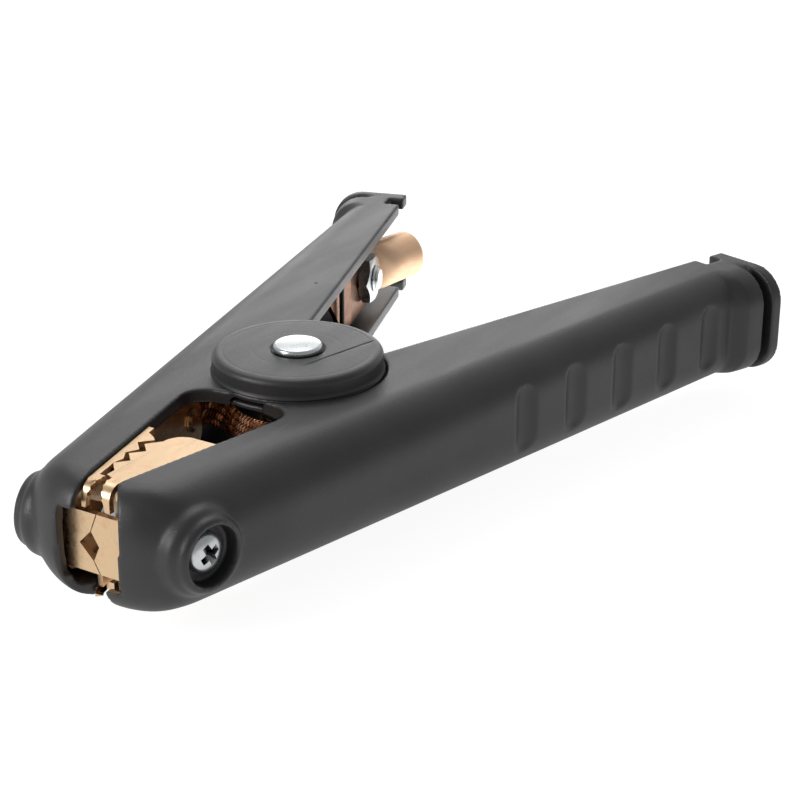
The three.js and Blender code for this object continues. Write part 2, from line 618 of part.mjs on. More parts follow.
/** Flexible braid from one jaw's tail round the front of the spring to the other's. */
function jawBraid() {
  const middle = BRAID_FOOT + BRAID_THICKNESS / 2;
  const foot = (x) => {
    const point = new THREE.Vector3(x, webFace(x), 0);
    point.x -= middle * Math.sin(webAngle);
    point.y += middle * Math.cos(webAngle);
    return point;
  };
  const side = [foot(-21), foot(-17), foot(-13), foot(-9.6), new THREE.Vector3(-7.1, 22.2, 0),
    new THREE.Vector3(-8.4, 16.5, 0), new THREE.Vector3(-13.2, 9.5, 0), new THREE.Vector3(-15.6, 3.4, 0)];
  const other = side.map((point) => new THREE.Vector3(point.x, -point.y, 0)).reverse();
  const path = new THREE.CatmullRomCurve3([...side, ...other], false, 'centripetal');
  const points = path.getSpacedPoints(46);
  const across = (i) => {
    const next = points[Math.min(i + 1, points.length - 1)];
    const before = points[Math.max(i - 1, 0)];
    const ahead = next.clone().sub(before).normalize();
    return new THREE.Vector3(-ahead.y, ahead.x, 0).multiplyScalar(BRAID_THICKNESS / 2);
  };
  const rings = points.map((point, i) => {
    const offset = across(i);
    return [[1, -1], [1, 1], [-1, 1], [-1, -1]].map(([s, z]) => new THREE.Vector3(
      point.x + s * offset.x, point.y + s * offset.y, BRAID_Z + z * (BRAID_WIDTH / 2)));
  });
  const holes = placed(disc(1.9, -1, 8, 14), tailRivetFrame());
  return cut(loft(rings), holes, holes.mirror([0, 1, 0]));
}

const strapFootFace = (x) => webFace(x) + STRAP_FOOT / Math.cos(webAngle);
/** The strap's inner face between its foot and the bend to the lug. */
const strapFace = (x) => THREE.MathUtils.mapLinear(
  x, STRAP_FOOT_END, STRAP_BEND.x, strapFootFace(STRAP_FOOT_END), STRAP_BEND.y);

/** Solid copper strap from the cable jaw's tail to the lug. */
function cableStrap() {
  const end = new THREE.Vector3(6.4, 0, 0).applyMatrix4(lugFrame);
  const inner = [
    vec(-21, strapFootFace(-21)), vec(STRAP_FOOT_END, strapFootFace(STRAP_FOOT_END)),
    STRAP_BEND, vec(end.x, end.y)];
  const outer = inner.map((point) => vec(point.x, point.y + SHEET / Math.cos(LUG_ANGLE))).reverse();
  const high = 9.6;
  const side = [
    vec(-21, -2.5), vec(-10, -2.5), vec(-4, 1), vec(72, 1), vec(80, -high), vec(102.6, -high),
    vec(104.6, -high + 2), vec(104.6, high - 2), vec(102.6, high), vec(-4, high), vec(-10, 6.8), vec(-21, 6.8)];
  const strap = prism([...inner, ...outer], -high - 1, high + 1).intersect(sidePrism(side, 0, 70));
  return cut(strap, placed(disc(1.9, -1, 12, 14), tailRivetFrame()), placed(lugHole(), lugFrame));
}

const lugHole = () => disc(M8_RADIUS + 0.2, -10, 15, 28);

// The stack on the lug bolt, as heights above the strap's inner face.
const PALM_IN = SHEET + TOUCH;
const PALM_OUT = PALM_IN + LUG_PALM;
const WASHER_OUT = PALM_OUT + TOUCH + LOCK_WASHER;

/** Crimp lug in its own frame: a flat palm that swells into a round, open-ended barrel. */
function cableLug() {
  const oval = (x, z, tilt, halfWidth, halfHeight, squareness) => {
    const ring = [];
    for (let i = 0; i < 24; i += 1) {
      const angle = (i / 24) * 2 * Math.PI;
      const [c, s] = [Math.cos(angle), Math.sin(angle)];
      const width = halfWidth * Math.sign(c) * Math.abs(c) ** squareness;
      const height = halfHeight * Math.sign(s) * Math.abs(s) ** squareness;
      ring.push(new THREE.Vector3(x + width * Math.sin(tilt), height, z + width * Math.cos(tilt)));
    }
    return ring;
  };
  const middle = PALM_IN + LUG_PALM / 2;
  const flat = LUG_PALM / 2;
  const end = BARREL_END;
  const barrel = (back, radius) => oval(
    end.x - back * Math.cos(BARREL_TILT), end.y + back * Math.sin(BARREL_TILT), BARREL_TILT, radius, radius, 1);
  const body = loft([
    oval(-9.1, middle, 0, flat, 6.2, 0.4), oval(-7.7, middle, 0, flat, 7.9, 0.4),
    oval(-5.3, middle, 0, flat, 8.6, 0.4), oval(7.2, middle, 0, flat, 8.6, 0.4),
    oval(9.2, middle - 0.9, BARREL_TILT * 0.4, 3.0, 8.4, 0.7),
    oval(11.6, -0.2, BARREL_TILT * 0.8, 5.6, 8.0, 0.9), barrel(11, BARREL_RADIUS + 0.3),
    barrel(0.5, BARREL_RADIUS), barrel(0, BARREL_RADIUS - 0.5)]);
  const bore = disc(BARREL_BORE_RADIUS, -BARREL_BORE_DEPTH, 1, 24).transform(new THREE.Matrix4()
    .makeRotationY(Math.PI / 2 + BARREL_TILT).setPosition(end.x, 0, end.y).elements);
  return cut(body, bore, lugHole());
}

function lugBolt() {
  const head = hexagon(M8_ACROSS_FLATS, WASHER_OUT + TOUCH, WASHER_OUT + TOUCH + 4.6);
  const shank = turned([
    vec(0, -5.2), vec(M8_RADIUS - 0.7, -5.2), vec(M8_RADIUS - 0.05, -4.5),
    vec(M8_RADIUS - 0.05, WASHER_OUT + 1), vec(0, WASHER_OUT + 1)], 28);
  return join(head, shank);
}

/** Split spring washer: a square-wire ring with a gap. */
function lugWasher() {
  const ring = cut(disc(6.6, PALM_OUT + TOUCH, WASHER_OUT, 32), disc(M8_RADIUS + 0.2, -1, 20, 32));
  return cut(ring, box(3, 8, -0.5, 0.5, 0, 20));
}

function lugNut() {
  return cut(hexagon(M8_ACROSS_FLATS, -3.6, -TOUCH), disc(M8_RADIUS + 0.05, -10, 1, 28));
}

/** Rivet through a jaw's tail; the layers above it are the braid and, on the cable side, the strap. */
function tailRivet(layersOut) {
  return turned([
    vec(0, -1.1), vec(2.2, -1.1), vec(3.1, -0.5), vec(3.1, -TOUCH), vec(1.8, -TOUCH),
    vec(1.8, layersOut + TOUCH), vec(3.1, layersOut + TOUCH), vec(3.1, layersOut + 0.5),
    vec(2.2, layersOut + 1.1), vec(0, layersOut + 1.1)], 14);
}

// ---------------------------------------------------------------- assembly
const clamp = new THREE.Group();
clamp.position.z = HALF_HEIGHT;

function add(parent, name, body, material, frame) {
  const mesh = new THREE.Mesh(geometryOf(body), material);
  mesh.name = name;
  if (frame) frame.decompose(mesh.position, mesh.quaternion, mesh.scale);
  parent.add(mesh);
  return mesh;
}

const turnedOver = new THREE.Matrix4().makeRotationX(Math.PI);
const onPlainSide = (frame) => turnedOver.clone().multiply(frame);

const cableHandle = new THREE.Group();
clamp.add(cableHandle);
const shell = handleShell();
add(cableHandle, 'cable_handle_shell', shell, blackPlastic);
add(cableHandle, 'cable_jaw', cableJaw(), copper);
add(cableHandle, 'cable_jaw_screw', jawScrew(), zinc, screwFrame(SCREW_DROP));
add(cableHandle, 'cable_jaw_nut', jawNut(), zinc, screwFrame(SCREW_DROP));
add(cableHandle, 'cable_strap', cableStrap(), copper);
add(cableHandle, 'cable_tail_rivet', tailRivet(STRAP_FOOT + SHEET), copper, tailRivetFrame());
add(cableHandle, 'cable_lug', cableLug(), copper, lugFrame);
add(cableHandle, 'lug_bolt', lugBolt(), zinc, lugFrame);
add(cableHandle, 'lug_lock_washer', lugWasher(), zinc, lugFrame);
add(cableHandle, 'lug_nut', lugNut(), zinc, lugFrame);

const plainHandle = new THREE.Group();
clamp.add(plainHandle);
add(plainHandle, 'plain_handle_shell', shell, blackPlastic, turnedOver);
add(plainHandle, 'plain_jaw', plainJaw().mirror([0, 1, 0]), copper);
add(plainHandle, 'plain_jaw_screw', jawScrew(), zinc, onPlainSide(screwFrame(SCREW_DROP)));
add(plainHandle, 'plain_jaw_nut', jawNut(), zinc, onPlainSide(screwFrame(SCREW_DROP)));
const plainRivetFrame = webFrame.clone()
  .multiply(new THREE.Matrix4().makeTranslation((-15.6 - WEB_START.x) / Math.cos(webAngle), BRAID_Z, 0));
const plainRivet = tailRivet(BRAID_FOOT + BRAID_THICKNESS);
add(plainHandle, 'plain_tail_rivet', plainRivet, copper, onPlainSide(plainRivetFrame));

const pivot = new THREE.Group();
clamp.add(pivot);
add(pivot, 'pivot_rivet', pivotRivet(), zinc);
add(pivot, 'pivot_sleeve', pivotSleeve(), zinc);
add(pivot, 'top_pivot_cap', pivotCap(), blackPlastic);
add(pivot, 'bottom_pivot_cap', pivotCap(), blackPlastic, turnedOver);
add(pivot, 'torsion_spring', torsionSpring(), springSteel);
add(pivot, 'jaw_braid', jawBraid(), braidedCopper);

export default clamp;
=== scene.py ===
import math

import bmesh
import bpy
import numpy as np
from mathutils import Matrix, Vector


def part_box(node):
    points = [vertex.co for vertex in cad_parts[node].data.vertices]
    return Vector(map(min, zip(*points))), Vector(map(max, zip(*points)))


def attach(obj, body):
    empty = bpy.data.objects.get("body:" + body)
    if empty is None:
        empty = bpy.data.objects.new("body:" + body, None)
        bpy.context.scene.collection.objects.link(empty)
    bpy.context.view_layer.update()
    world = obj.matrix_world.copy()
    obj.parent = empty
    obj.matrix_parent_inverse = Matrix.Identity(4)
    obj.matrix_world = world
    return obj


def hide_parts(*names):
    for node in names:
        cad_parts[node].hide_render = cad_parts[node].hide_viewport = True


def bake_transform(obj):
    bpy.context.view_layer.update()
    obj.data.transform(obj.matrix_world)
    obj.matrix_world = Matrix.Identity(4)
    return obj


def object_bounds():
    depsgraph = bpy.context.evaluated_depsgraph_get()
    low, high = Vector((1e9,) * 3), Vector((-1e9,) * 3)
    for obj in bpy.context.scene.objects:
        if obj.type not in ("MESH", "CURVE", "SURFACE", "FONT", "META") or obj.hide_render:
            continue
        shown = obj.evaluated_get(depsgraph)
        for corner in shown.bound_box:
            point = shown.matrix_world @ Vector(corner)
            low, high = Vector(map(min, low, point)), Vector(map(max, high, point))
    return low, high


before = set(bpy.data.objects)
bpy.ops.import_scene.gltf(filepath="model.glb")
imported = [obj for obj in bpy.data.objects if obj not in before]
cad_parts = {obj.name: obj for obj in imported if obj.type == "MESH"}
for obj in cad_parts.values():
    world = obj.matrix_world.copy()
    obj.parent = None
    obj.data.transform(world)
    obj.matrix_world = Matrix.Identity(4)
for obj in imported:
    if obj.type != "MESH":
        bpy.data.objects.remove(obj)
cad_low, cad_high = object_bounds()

MM = 0.001
TAU = 2 * math.pi
QUARTER = math.pi / 2


def span(node):
    """Lowest and highest corner of a CAD node, in millimetres about mid height."""
    low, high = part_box(node)
    middle = Vector((0, 0, cad_high.z / 2))
    return (low - middle) / MM, (high - middle) / MM


# ------------------------------------------------------------------ sizes, from the frame
HALF_HEIGHT = cad_high.z / 2 / MM
SHELL_LOW, SHELL_HIGH = span("cable_handle_shell")
SHELL_TOP = SHELL_HIGH.z
EAR_RADIUS = -SHELL_LOW.y
CAP_LOW, CAP_HIGH = span("top_pivot_cap")

# ------------------------------------------------------------------ driving dimensions
# Handle shell. Its long edges are straight in plan: y = START + SLOPE * x.
PLATE, WALL = 3.6, 3.0
INSIDE = SHELL_TOP - PLATE
NOSE_X = -81.0
NOSE_CORNER, TAIL_CORNER = 13.5, 8.5
TAIL = Vector((135.5, 52.1))
TAIL_ANGLE = math.radians(17)
INNER_START, INNER_SLOPE = 5.75, 0.345
OUTER_START, OUTER_SLOPE = 39.6, 0.2175
OUTER_LEAN = math.atan(OUTER_SLOPE)
FRONT_CORNER = Vector((-74.2, 4.2))
MOUTH_CORNER = Vector((-24.6, 14.6))
WINDOW_EDGE, WINDOW_HALF_HEIGHT = 8.4, 8.7
EAR_SPLIT, PIVOT_BORE = 0.32, 4.3
GRIP_COUNT, GRIP_FIRST_X, GRIP_PITCH = 5, 32, 18.6
GRIP_WIDTH, GRIP_DEPTH, GRIP_HALF_HEIGHT = 8.0, 1.5, 10.5
NICKS = ((110.3, 43.5, 0.9), (52.9, 30.5, 0.7))
VOXEL = 0.42

# Jaws and their screws. A jaw's web starts at its front face and leans out by WEB_ANGLE. The teeth mesh
# about the line y = MESH_START + MESH_SLOPE * (x - FRONT_CORNER.x).
SHEET = 1.5
WEB_START = Vector((-77.0, 8.9))
WEB_ANGLE = math.atan(0.2)
JAW_TOP, CHANNEL_TOP = 14.2, 11.1
JAW_REAR_X, TAIL_END_X = -46.0, -10.5
STRIP_GAP = 0.4
TOOTH_PITCH, TOOTH_REAR_X = 5.75, -51.2
MESH_START, MESH_SLOPE = 3.35, 0.03
FACE_HALF_HEIGHT = 7.3
SCREW_U, SCREW_DROP = 10.8, 0.8
SCREW_RIM, SCREW_SINK = 15.1, 1.2
HEAD_RADIUS, HEAD_HEIGHT = 4.7, 3.0
BOSS_RADIUS, RECESS_RADIUS = 8.8, 7.0
JAW_HOLE, BOSS_HOLE = 2.65, 2.7

# Strap, lug and its M8 bolt.
STRAP_BEND = Vector((86.0, 41.0))
POST_X, POST_TOP = 77.5, 39.35
LUG_X, LUG_ANGLE = 99.3, math.radians(18)
PALM_IN, PALM = SHEET + 0.1, 3.0
BARREL_END, BARREL_TILT, BARREL_RADIUS = (24.7, -7.5), math.radians(29), 7.0
BOLT_ACROSS, BOLT_HOLE = 13, 4.2

# Spring and braid.
SPRING_RADIUS, SPRING_WIRE, SPRING_TURNS = 8.6, 1.3, 3
SPRING_LEG, SPRING_LEG_Z, SPRING_ANGLE = 58, 5.6, math.radians(36)
BRAID_STRANDS, BRAID_WIRES, BRAID_PITCH = 14, 3, 15.0
BRAID_HALF_WIDTH, BRAID_Z = 5.0, 2.0

# Knit line across the pivot cap: its normal in plan and its distance from the pivot.
KNIT_NORMAL, KNIT_OFFSET = Vector((0.233, 0.972)), 9.2


# ------------------------------------------------------------------ geometry in millimetres
class Geometry:
    """Vertices and faces of one closed shape."""

    def __init__(self, vertices, faces):
        self.vertices = np.asarray(vertices, float).reshape(-1, 3)
        self.faces = faces

    def moved(self, matrix):
        rows = np.array(matrix)
        return Geometry(self.vertices @ rows[:3, :3].T + rows[:3, 3], self.faces)

    def turned_over(self):
        return self.moved(Matrix.Rotation(math.pi, 4, "X"))


def loft(rings):
    """Closed skin over equal rings of points, with a flat face on each end."""
    count = len(rings[0])
    vertices = [point for ring in rings for point in ring]
    faces = [tuple(range(count))[::-1]]
    for start in range(0, (len(rings) - 1) * count, count):
        for i in range(count):
            j = (i + 1) % count
            faces.append((start + i, start + j, start + count + j, start + count + i))
    last = (len(rings) - 1) * count
    faces.append(tuple(range(last, last + count)))
    return Geometry(vertices, faces)


def prism(outline, z0, z1):
    """A plan outline, counter-clockwise, raised from z0 to z1."""
    return loft([[(x, y, z) for x, y in outline] for z in (z0, z1)])


def upright(outline, y0, y1):
    """An outline of (x, z) carried along Y."""
    return loft([[(x, y, z) for x, z in outline] for y in (y0, y1)])


def across_front(outline, x0, x1):
    """An outline of (y, z) carried along X."""
    return loft([[(x, y, z) for y, z in outline] for x in (x0, x1)])


def block(x0, x1, y0, y1, z0, z1):
    return prism([(x0, y0), (x1, y0), (x1, y1), (x0, y1)], z0, z1)


def circle(radius, steps, z=0.0):
    angles = [TAU * i / steps for i in range(steps)]
    return [(radius * math.cos(a), radius * math.sin(a), z) for a in angles]


def disc(radius, z0, z1, steps=64):
    return loft([circle(radius, steps, z0), circle(radius, steps, z1)])


def lathe(profile, steps=96):
    """Turned solid about Z; profile points are (radius, z) upwards, with flat ends."""
    return loft([circle(max(r, 0.01), steps, z) for r, z in profile])


def arc(cx, cy, radius, start, end, steps):
    angles = [start + (end - start) * i / steps for i in range(steps + 1)]
    return [(cx + radius * math.cos(a), cy + radius * math.sin(a)) for a in angles]


def through(before, start, end, after, t):
    """Smooth curve (Catmull-Rom) from start at t = 0 to end at t = 1."""
    return 0.5 * (2 * start + (end - before) * t + (2 * before - 5 * start + 4 * end - after) * t * t
                  + (3 * start - before - 3 * end + after) * t ** 3)


def ahead_of(points, i):
    """Direction of a line of points at one of them."""
    return (points[min(i + 1, len(points) - 1)] - points[max(i - 1, 0)]).normalized()


def sweep(path, radius, steps=12):
    """Round wire along a list of points, carried without twist."""
    points = [Vector(p) for p in path]
    side = ahead_of(points, 0).orthogonal().normalized()
    rings = []
    for i, point in enumerate(points):
        ahead = ahead_of(points, i)
        side = (side - ahead * side.dot(ahead)).normalized()
        other = ahead.cross(side)
        rings.append([tuple(point + radius * (math.cos(a) * side + math.sin(a) * other))
                      for a in (TAU * k / steps for k in range(steps))])
    return loft(rings)


def merged(shapes):
    """Several shapes as one, without joining their surfaces."""
    vertices, faces, offset = [], [], 0
    for shape in shapes:
        vertices.append(shape.vertices)
        faces += [tuple(i + offset for i in face) for face in shape.faces]
        offset += len(shape.vertices)
    return Geometry(np.vstack(vertices), faces)


# ------------------------------------------------------------------ objects
def mesh_of(name, geometry):
    mesh = bpy.data.meshes.new(name)
    mesh.from_pydata(geometry.vertices.tolist(), [], geometry.faces)
    mesh.validate()
    bm = bmesh.new()
    bm.from_mesh(mesh)
    bmesh.ops.recalc_face_normals(bm, faces=bm.faces)
    bm.to_mesh(mesh)
    bm.free()
    return mesh


def linked(name, data):
    thing = bpy.data.objects.new(name, data)
    bpy.context.scene.collection.objects.link(thing)
    return thing


def temporary(geometry):
    return linked("temporary", mesh_of("temporary", geometry))


def discard(*things):
    for thing in things:
        mesh = thing.data
        bpy.data.objects.remove(thing)
        bpy.data.meshes.remove(mesh)


def read_back(thing):
    """The evaluated shape of an object with modifiers."""
    evaluated = thing.evaluated_get(bpy.context.evaluated_depsgraph_get())
    mesh = evaluated.to_mesh()
    vertices = np.empty(len(mesh.vertices) * 3)
    mesh.vertices.foreach_get("co", vertices)
    faces = [tuple(polygon.vertices) for polygon in mesh.polygons]
    evaluated.to_mesh_clear()
    return Geometry(vertices, faces)


def carve(base, *steps):
    """Boolean steps on a shape: each is ("UNION" | "DIFFERENCE" | "INTERSECT", shape)."""
    main = temporary(base)
    tools = []
    for operation, shape in steps:
        tools.append(temporary(shape))
        modifier = main.modifiers.new("step", "BOOLEAN")
        modifier.operation = operation
        modifier.solver = "EXACT"
        modifier.object = tools[-1]
    result = read_back(main)
    discard(main, *tools)
    return result


def joined(base, *shapes):
    return carve(base, *[("UNION", shape) for shape in shapes])


def cut(base, *shapes):
    return carve(base, *[("DIFFERENCE", shape) for shape in shapes])


def remeshed(shape, voxel):
    main = temporary(shape)
    modifier = main.modifiers.new("remesh", "REMESH")
    modifier.mode = "VOXEL"
    modifier.voxel_size = voxel
    result = read_back(main)
    discard(main)
    return result


def relaxed(shape, weights, rounds):
    """Moves each vertex towards its neighbours' middle by its weight, a number of times."""
    faces = np.array([f if len(f) == 4 else (*f, f[0]) for f in shape.faces])
    edges = np.vstack([faces[:, [i, (i + 1) % 4]] for i in range(4)])
    edges = edges[edges[:, 0] != edges[:, 1]]
    edges = np.unique(np.sort(edges, axis=1), axis=0)
    first, second = edges[:, 0], edges[:, 1]
    points = shape.vertices.copy()
    count = np.bincount(edges.ravel(), minlength=len(points))[:, None]
    for _ in range(rounds):
        total = np.zeros_like(points)
        for axis in range(3):
            total[:, axis] = (np.bincount(first, points[second, axis], len(points))
                              + np.bincount(second, points[first, axis], len(points)))
        points += weights[:, None] * (total / np.maximum(count, 1) - points)
    return Geometry(points, shape.faces)


def lift(shape):
    """Millimetres about mid height to metres on the frame."""
    return Geometry((shape.vertices + np.array([0, 0, HALF_HEIGHT])) * MM, shape.faces)


def dress(thing, material, sharp):
    """Gives a piece its material and smooth shading, with edges above an angle in degrees kept sharp."""
    mesh = thing.data
    mesh.materials.clear()
    mesh.materials.append(MATERIALS[material])
    mesh.polygons.foreach_set("use_smooth", [True] * len(mesh.polygons))
    mesh.set_sharp_from_angle(angle=math.radians(sharp))


def piece(name, shape, material, body, node, sharp, rides=True):
    """Adds one shown piece that stands for a CAD node and rides on a body."""
    thing = linked(name, mesh_of(name, lift(shape)))
    dress(thing, material, sharp)
    if rides:
        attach(thing, body)
    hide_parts(node)
    return thing


def bevelled(thing, width):
    """Merges flat faces and rounds the edges of a piece, without changing its own mesh."""
    flat = thing.modifiers.new("flat faces", "DECIMATE")
    flat.decimate_type = "DISSOLVE"
    flat.angle_limit = math.radians(1)
    edge = thing.modifiers.new("edges", "BEVEL")
    edge.width = width * MM
    edge.segments = 3
    edge.limit_method = "ANGLE"
    edge.angle_limit = math.radians(28)
    edge.harden_normals = True


# ------------------------------------------------------------------ materials
class Shader:
    """Small helper for one node material in object coordinates."""

    def __init__(self, name):
        self.material = bpy.data.materials.new(name)
        self.material.use_nodes = True
        self.nodes = self.material.node_tree.nodes
        self.links = self.material.node_tree.links
        self.surface = self.nodes["Principled BSDF"]
        self.place = self.nodes.new("ShaderNodeTexCoord").outputs["Object"]

    def feed(self, socket, value):
        """A socket takes another node's output or a plain value."""
        if isinstance(value, bpy.types.NodeSocket):
            self.links.new(value, socket)
        else:
            socket.default_value = value

    def put(self, name, value):
        self.feed(self.surface.inputs[name], value)

    def stretched(self, scale, turn=(0, 0, 0)):
        mapping = self.nodes.new("ShaderNodeMapping")
        mapping.inputs["Scale"].default_value = scale
        mapping.inputs["Rotation"].default_value = turn
        self.links.new(self.place, mapping.inputs["Vector"])
        return mapping.outputs["Vector"]

    def noise(self, per_metre, detail=3, roughness=0.5, place=None, distortion=0.0):
        node = self.nodes.new("ShaderNodeTexNoise")
        node.inputs["Scale"].default_value = per_metre
        node.inputs["Detail"].default_value = detail
        node.inputs["Roughness"].default_value = roughness
        node.inputs["Distortion"].default_value = distortion
        self.links.new(place or self.place, node.inputs["Vector"])
        return node.outputs["Fac"]

    def ramp(self, value, low, high, start=0.0, end=1.0):
        node = self.nodes.new("ShaderNodeMapRange")
        node.interpolation_type = "SMOOTHSTEP"
        for name, number in (("From Min", low), ("From Max", high), ("To Min", start), ("To Max", end)):
            node.inputs[name].default_value = number
        self.links.new(value, node.inputs["Value"])
        return node.outputs["Result"]

    def math(self, operation, first, second):
        node = self.nodes.new("ShaderNodeMath")
        node.operation = operation
        self.feed(node.inputs[0], first)
        self.feed(node.inputs[1], second)
        return node.outputs[0]

    def colours(self, share, first, second):
        node = self.nodes.new("ShaderNodeMix")
        node.data_type = "RGBA"
        self.links.new(share, node.inputs["Factor"])
        for socket, value in ((node.inputs[6], first), (node.inputs[7], second)):
            self.feed(socket, value if isinstance(value, bpy.types.NodeSocket) else (*value, 1))
        return node.outputs[2]

    def bump(self, *layers):
        """Each layer is (height, strength, distance in millimetres)."""
        normal = None
        for height, strength, distance in layers:
            node = self.nodes.new("ShaderNodeBump")
            node.inputs["Strength"].default_value = strength
            node.inputs["Distance"].default_value = distance * MM
            self.links.new(height, node.inputs["Height"])
            if normal:
                self.links.new(normal, node.inputs["Normal"])
            normal = node.outputs["Normal"]
        self.put("Normal", normal)

    def painted_recess_shade(self, reach):
        """Mask for painted shade: 1 deep in recesses and 0 on open faces, from ambient occlusion; reach is
        in millimetres.
        """
        node = self.nodes.new("ShaderNodeAmbientOcclusion")
        node.samples = 6
        node.only_local = True
        node.inputs["Distance"].default_value = reach * MM
        return self.ramp(node.outputs["AO"], 0.95, 0.45, 0.0, 1.0)

    def spot(self, centre, radius, core=0.6):
        """1 in the core of a round spot and 0 outside it, in millimetres about mid height."""
        x, y, z = centre
        apart = self.nodes.new("ShaderNodeVectorMath")
        apart.operation = "DISTANCE"
        self.links.new(self.place, apart.inputs[0])
        apart.inputs[1].default_value = (x * MM, y * MM, (HALF_HEIGHT + z) * MM)
        return self.ramp(apart.outputs["Value"], radius * MM, core * radius * MM, 0.0, 1.0)


def dimmed(colour, share):
    return tuple(share * part for part in colour)


def black_plastic():
    """Moulded plastic with flow marks, fine grain, pale rubbed streaks, dust and two nicks."""
    look = Shader("black_plastic")
    grain = look.noise(2000, 4, 0.65)
    clouds = look.noise(38, 4, 0.55)
    flow = look.noise(55, 3, 0.6, look.stretched((0.25, 1.6, 1.0)))
    rub = look.ramp(look.noise(420, 5, 0.7, look.stretched((0.12, 1, 1), (0, 0, 0.35))), 0.62, 0.78)
    dust = look.ramp(look.noise(1500, 2, 0.5), 0.73, 0.79)
    nicks = look.math("MAXIMUM", *[look.spot((x, y, SHELL_TOP), radius) for x, y, radius in NICKS])
    base = look.colours(look.ramp(clouds, 0.35, 0.68), (0.0125, 0.0125, 0.0135), (0.021, 0.021, 0.0225))
    base = look.colours(look.math("MULTIPLY", rub, 0.22), base, (0.075, 0.074, 0.073))
    base = look.colours(look.math("MULTIPLY", dust, 0.35), base, (0.14, 0.135, 0.13))
    base = look.colours(nicks, base, (0.004, 0.004, 0.004))
    rough = look.math("ADD", look.ramp(flow, 0.3, 0.7, 0.34, 0.42), look.math("MULTIPLY", grain, 0.10))
    look.put("Base Color", base)
    look.put("Roughness", rough)
    look.put("Specular IOR Level", look.ramp(nicks, 0.0, 1.0, 0.75, 0.05))
    look.bump((flow, 0.25, 0.12), (grain, 0.7, 0.08), (rub, 0.25, 0.03))
    return look.material


def copper_sheet(name, bright, dull, rough):
    """Pressed copper with tarnish, drawn streaks and painted shade in its recesses."""
    look = Shader(name)
    clouds = look.noise(60, 4, 0.6)
    tarnish = look.ramp(look.noise(210, 5, 0.65, distortion=0.6), 0.5, 0.75)
    streaks = look.noise(900, 3, 0.6, look.stretched((0.08, 1, 1), (0, 0, 0.2)))
    base = look.colours(look.ramp(clouds, 0.3, 0.7), bright, dimmed(bright, 0.93))
    base = look.colours(look.math("MULTIPLY", tarnish, 0.4), base, dull)
    # Painted shade: the colour darkens towards a dim copper in recesses, from ambient occlusion.
    base = look.colours(look.math("MULTIPLY", look.painted_recess_shade(2.0), 0.8), base, dimmed(dull, 0.25))
    streaked = look.ramp(streaks, 0.3, 0.7, rough, rough + 0.12)
    look.put("Base Color", base)
    look.put("Metallic", 1.0)
    look.put("Roughness", look.math("ADD", streaked, look.math("MULTIPLY", tarnish, 0.08)))
    look.bump((streaks, 0.18, 0.03), (clouds, 0.3, 0.15))
    return look.material


def bright_metal(name, colour, dark, rough):
    """Plated or drawn steel with dull spots, fine scratches and painted shade in its recesses."""
    look = Shader(name)
    clouds = look.noise(300, 4, 0.6)
    spots = look.ramp(look.noise(1100, 3, 0.6), 0.6, 0.78)
    scratches = look.noise(2600, 2, 0.5, look.stretched((0.05, 1, 1), (0.3, 0.2, 0.7)))
    base = look.colours(look.ramp(clouds, 0.35, 0.7), colour, dimmed(colour, 0.88))
    base = look.colours(look.math("MULTIPLY", spots, 0.6), base, dark)
    # Painted shade: the colour goes nearly black in recesses such as the screw's cross, from ambient
    # occlusion.
    base = look.colours(look.painted_recess_shade(1.8), base, dimmed(dark, 0.06))
    look.put("Base Color", base)
    look.put("Metallic", 1.0)
    look.put("Roughness", look.ramp(clouds, 0.3, 0.7, rough, rough + 0.14))
    look.bump((scratches, 0.15, 0.02), (clouds, 0.25, 0.06))
    return look.material


MATERIALS = {
    "black_plastic": black_plastic(),
    "copper": copper_sheet("copper", (0.88, 0.63, 0.39), (0.66, 0.30, 0.15), 0.26),
    "satin_copper": copper_sheet("satin_copper", (0.97, 0.67, 0.45), (0.86, 0.52, 0.34), 0.46),
    # Copper much darker than the rest, as painted shade for the strap lying in the shade under the top
    # plate.
    "shade_darkened_copper": copper_sheet("shade_darkened_copper", (0.27, 0.14, 0.085), (0.10, 0.037, 0.022), 0.3),
    "braided_copper": copper_sheet("braided_copper", (0.76, 0.38, 0.21), (0.28, 0.11, 0.065), 0.3),
    "zinc": bright_metal("zinc", (0.72, 0.75, 0.76), (0.36, 0.35, 0.31), 0.22),
    "spring_steel": bright_metal("spring_steel", (0.42, 0.40, 0.38), (0.14, 0.10, 0.08), 0.34),
}

# CAD nodes that are shown as they are: name, finish and width of the rounded edges.
KEPT_NODES = (
    # The strap's darker copper is painted shade.
    ("cable_strap", "shade_darkened_copper", 0.25),
    ("cable_tail_rivet", "copper", 0.2),
    ("plain_tail_rivet", "copper", 0.2),
    ("cable_jaw_nut", "zinc", 0.2),
    ("plain_jaw_nut", "zinc", 0.2),
    ("pivot_sleeve", "zinc", 0.3),
)


# ------------------------------------------------------------------ frames and edges on the part
def frame_at(origin, angle):
    """X along a line in plan, Y = -Z of the world, Z out of the handle."""
    c, s = math.cos(angle), math.sin(angle)
    return Matrix(((c, 0, -s, origin[0]), (s, 0, c, origin[1]), (0, -1, 0, 0), (0, 0, 0, 1)))


web_frame = frame_at(WEB_START, WEB_ANGLE)
screw_frame = web_frame @ Matrix.Translation((SCREW_U, SCREW_DROP, 0))
lug_frame = frame_at((LUG_X, STRAP_BEND.y + (LUG_X - STRAP_BEND.x) * math.tan(LUG_ANGLE)), LUG_ANGLE)
tail_frame = Matrix.Translation((TAIL.x, TAIL.y, 0)) @ Matrix.Rotation(TAIL_ANGLE, 4, "Z")


def inner_edge(x):
    return INNER_START + INNER_SLOPE * x


def outer_wall(x):
    return OUTER_START + OUTER_SLOPE * x


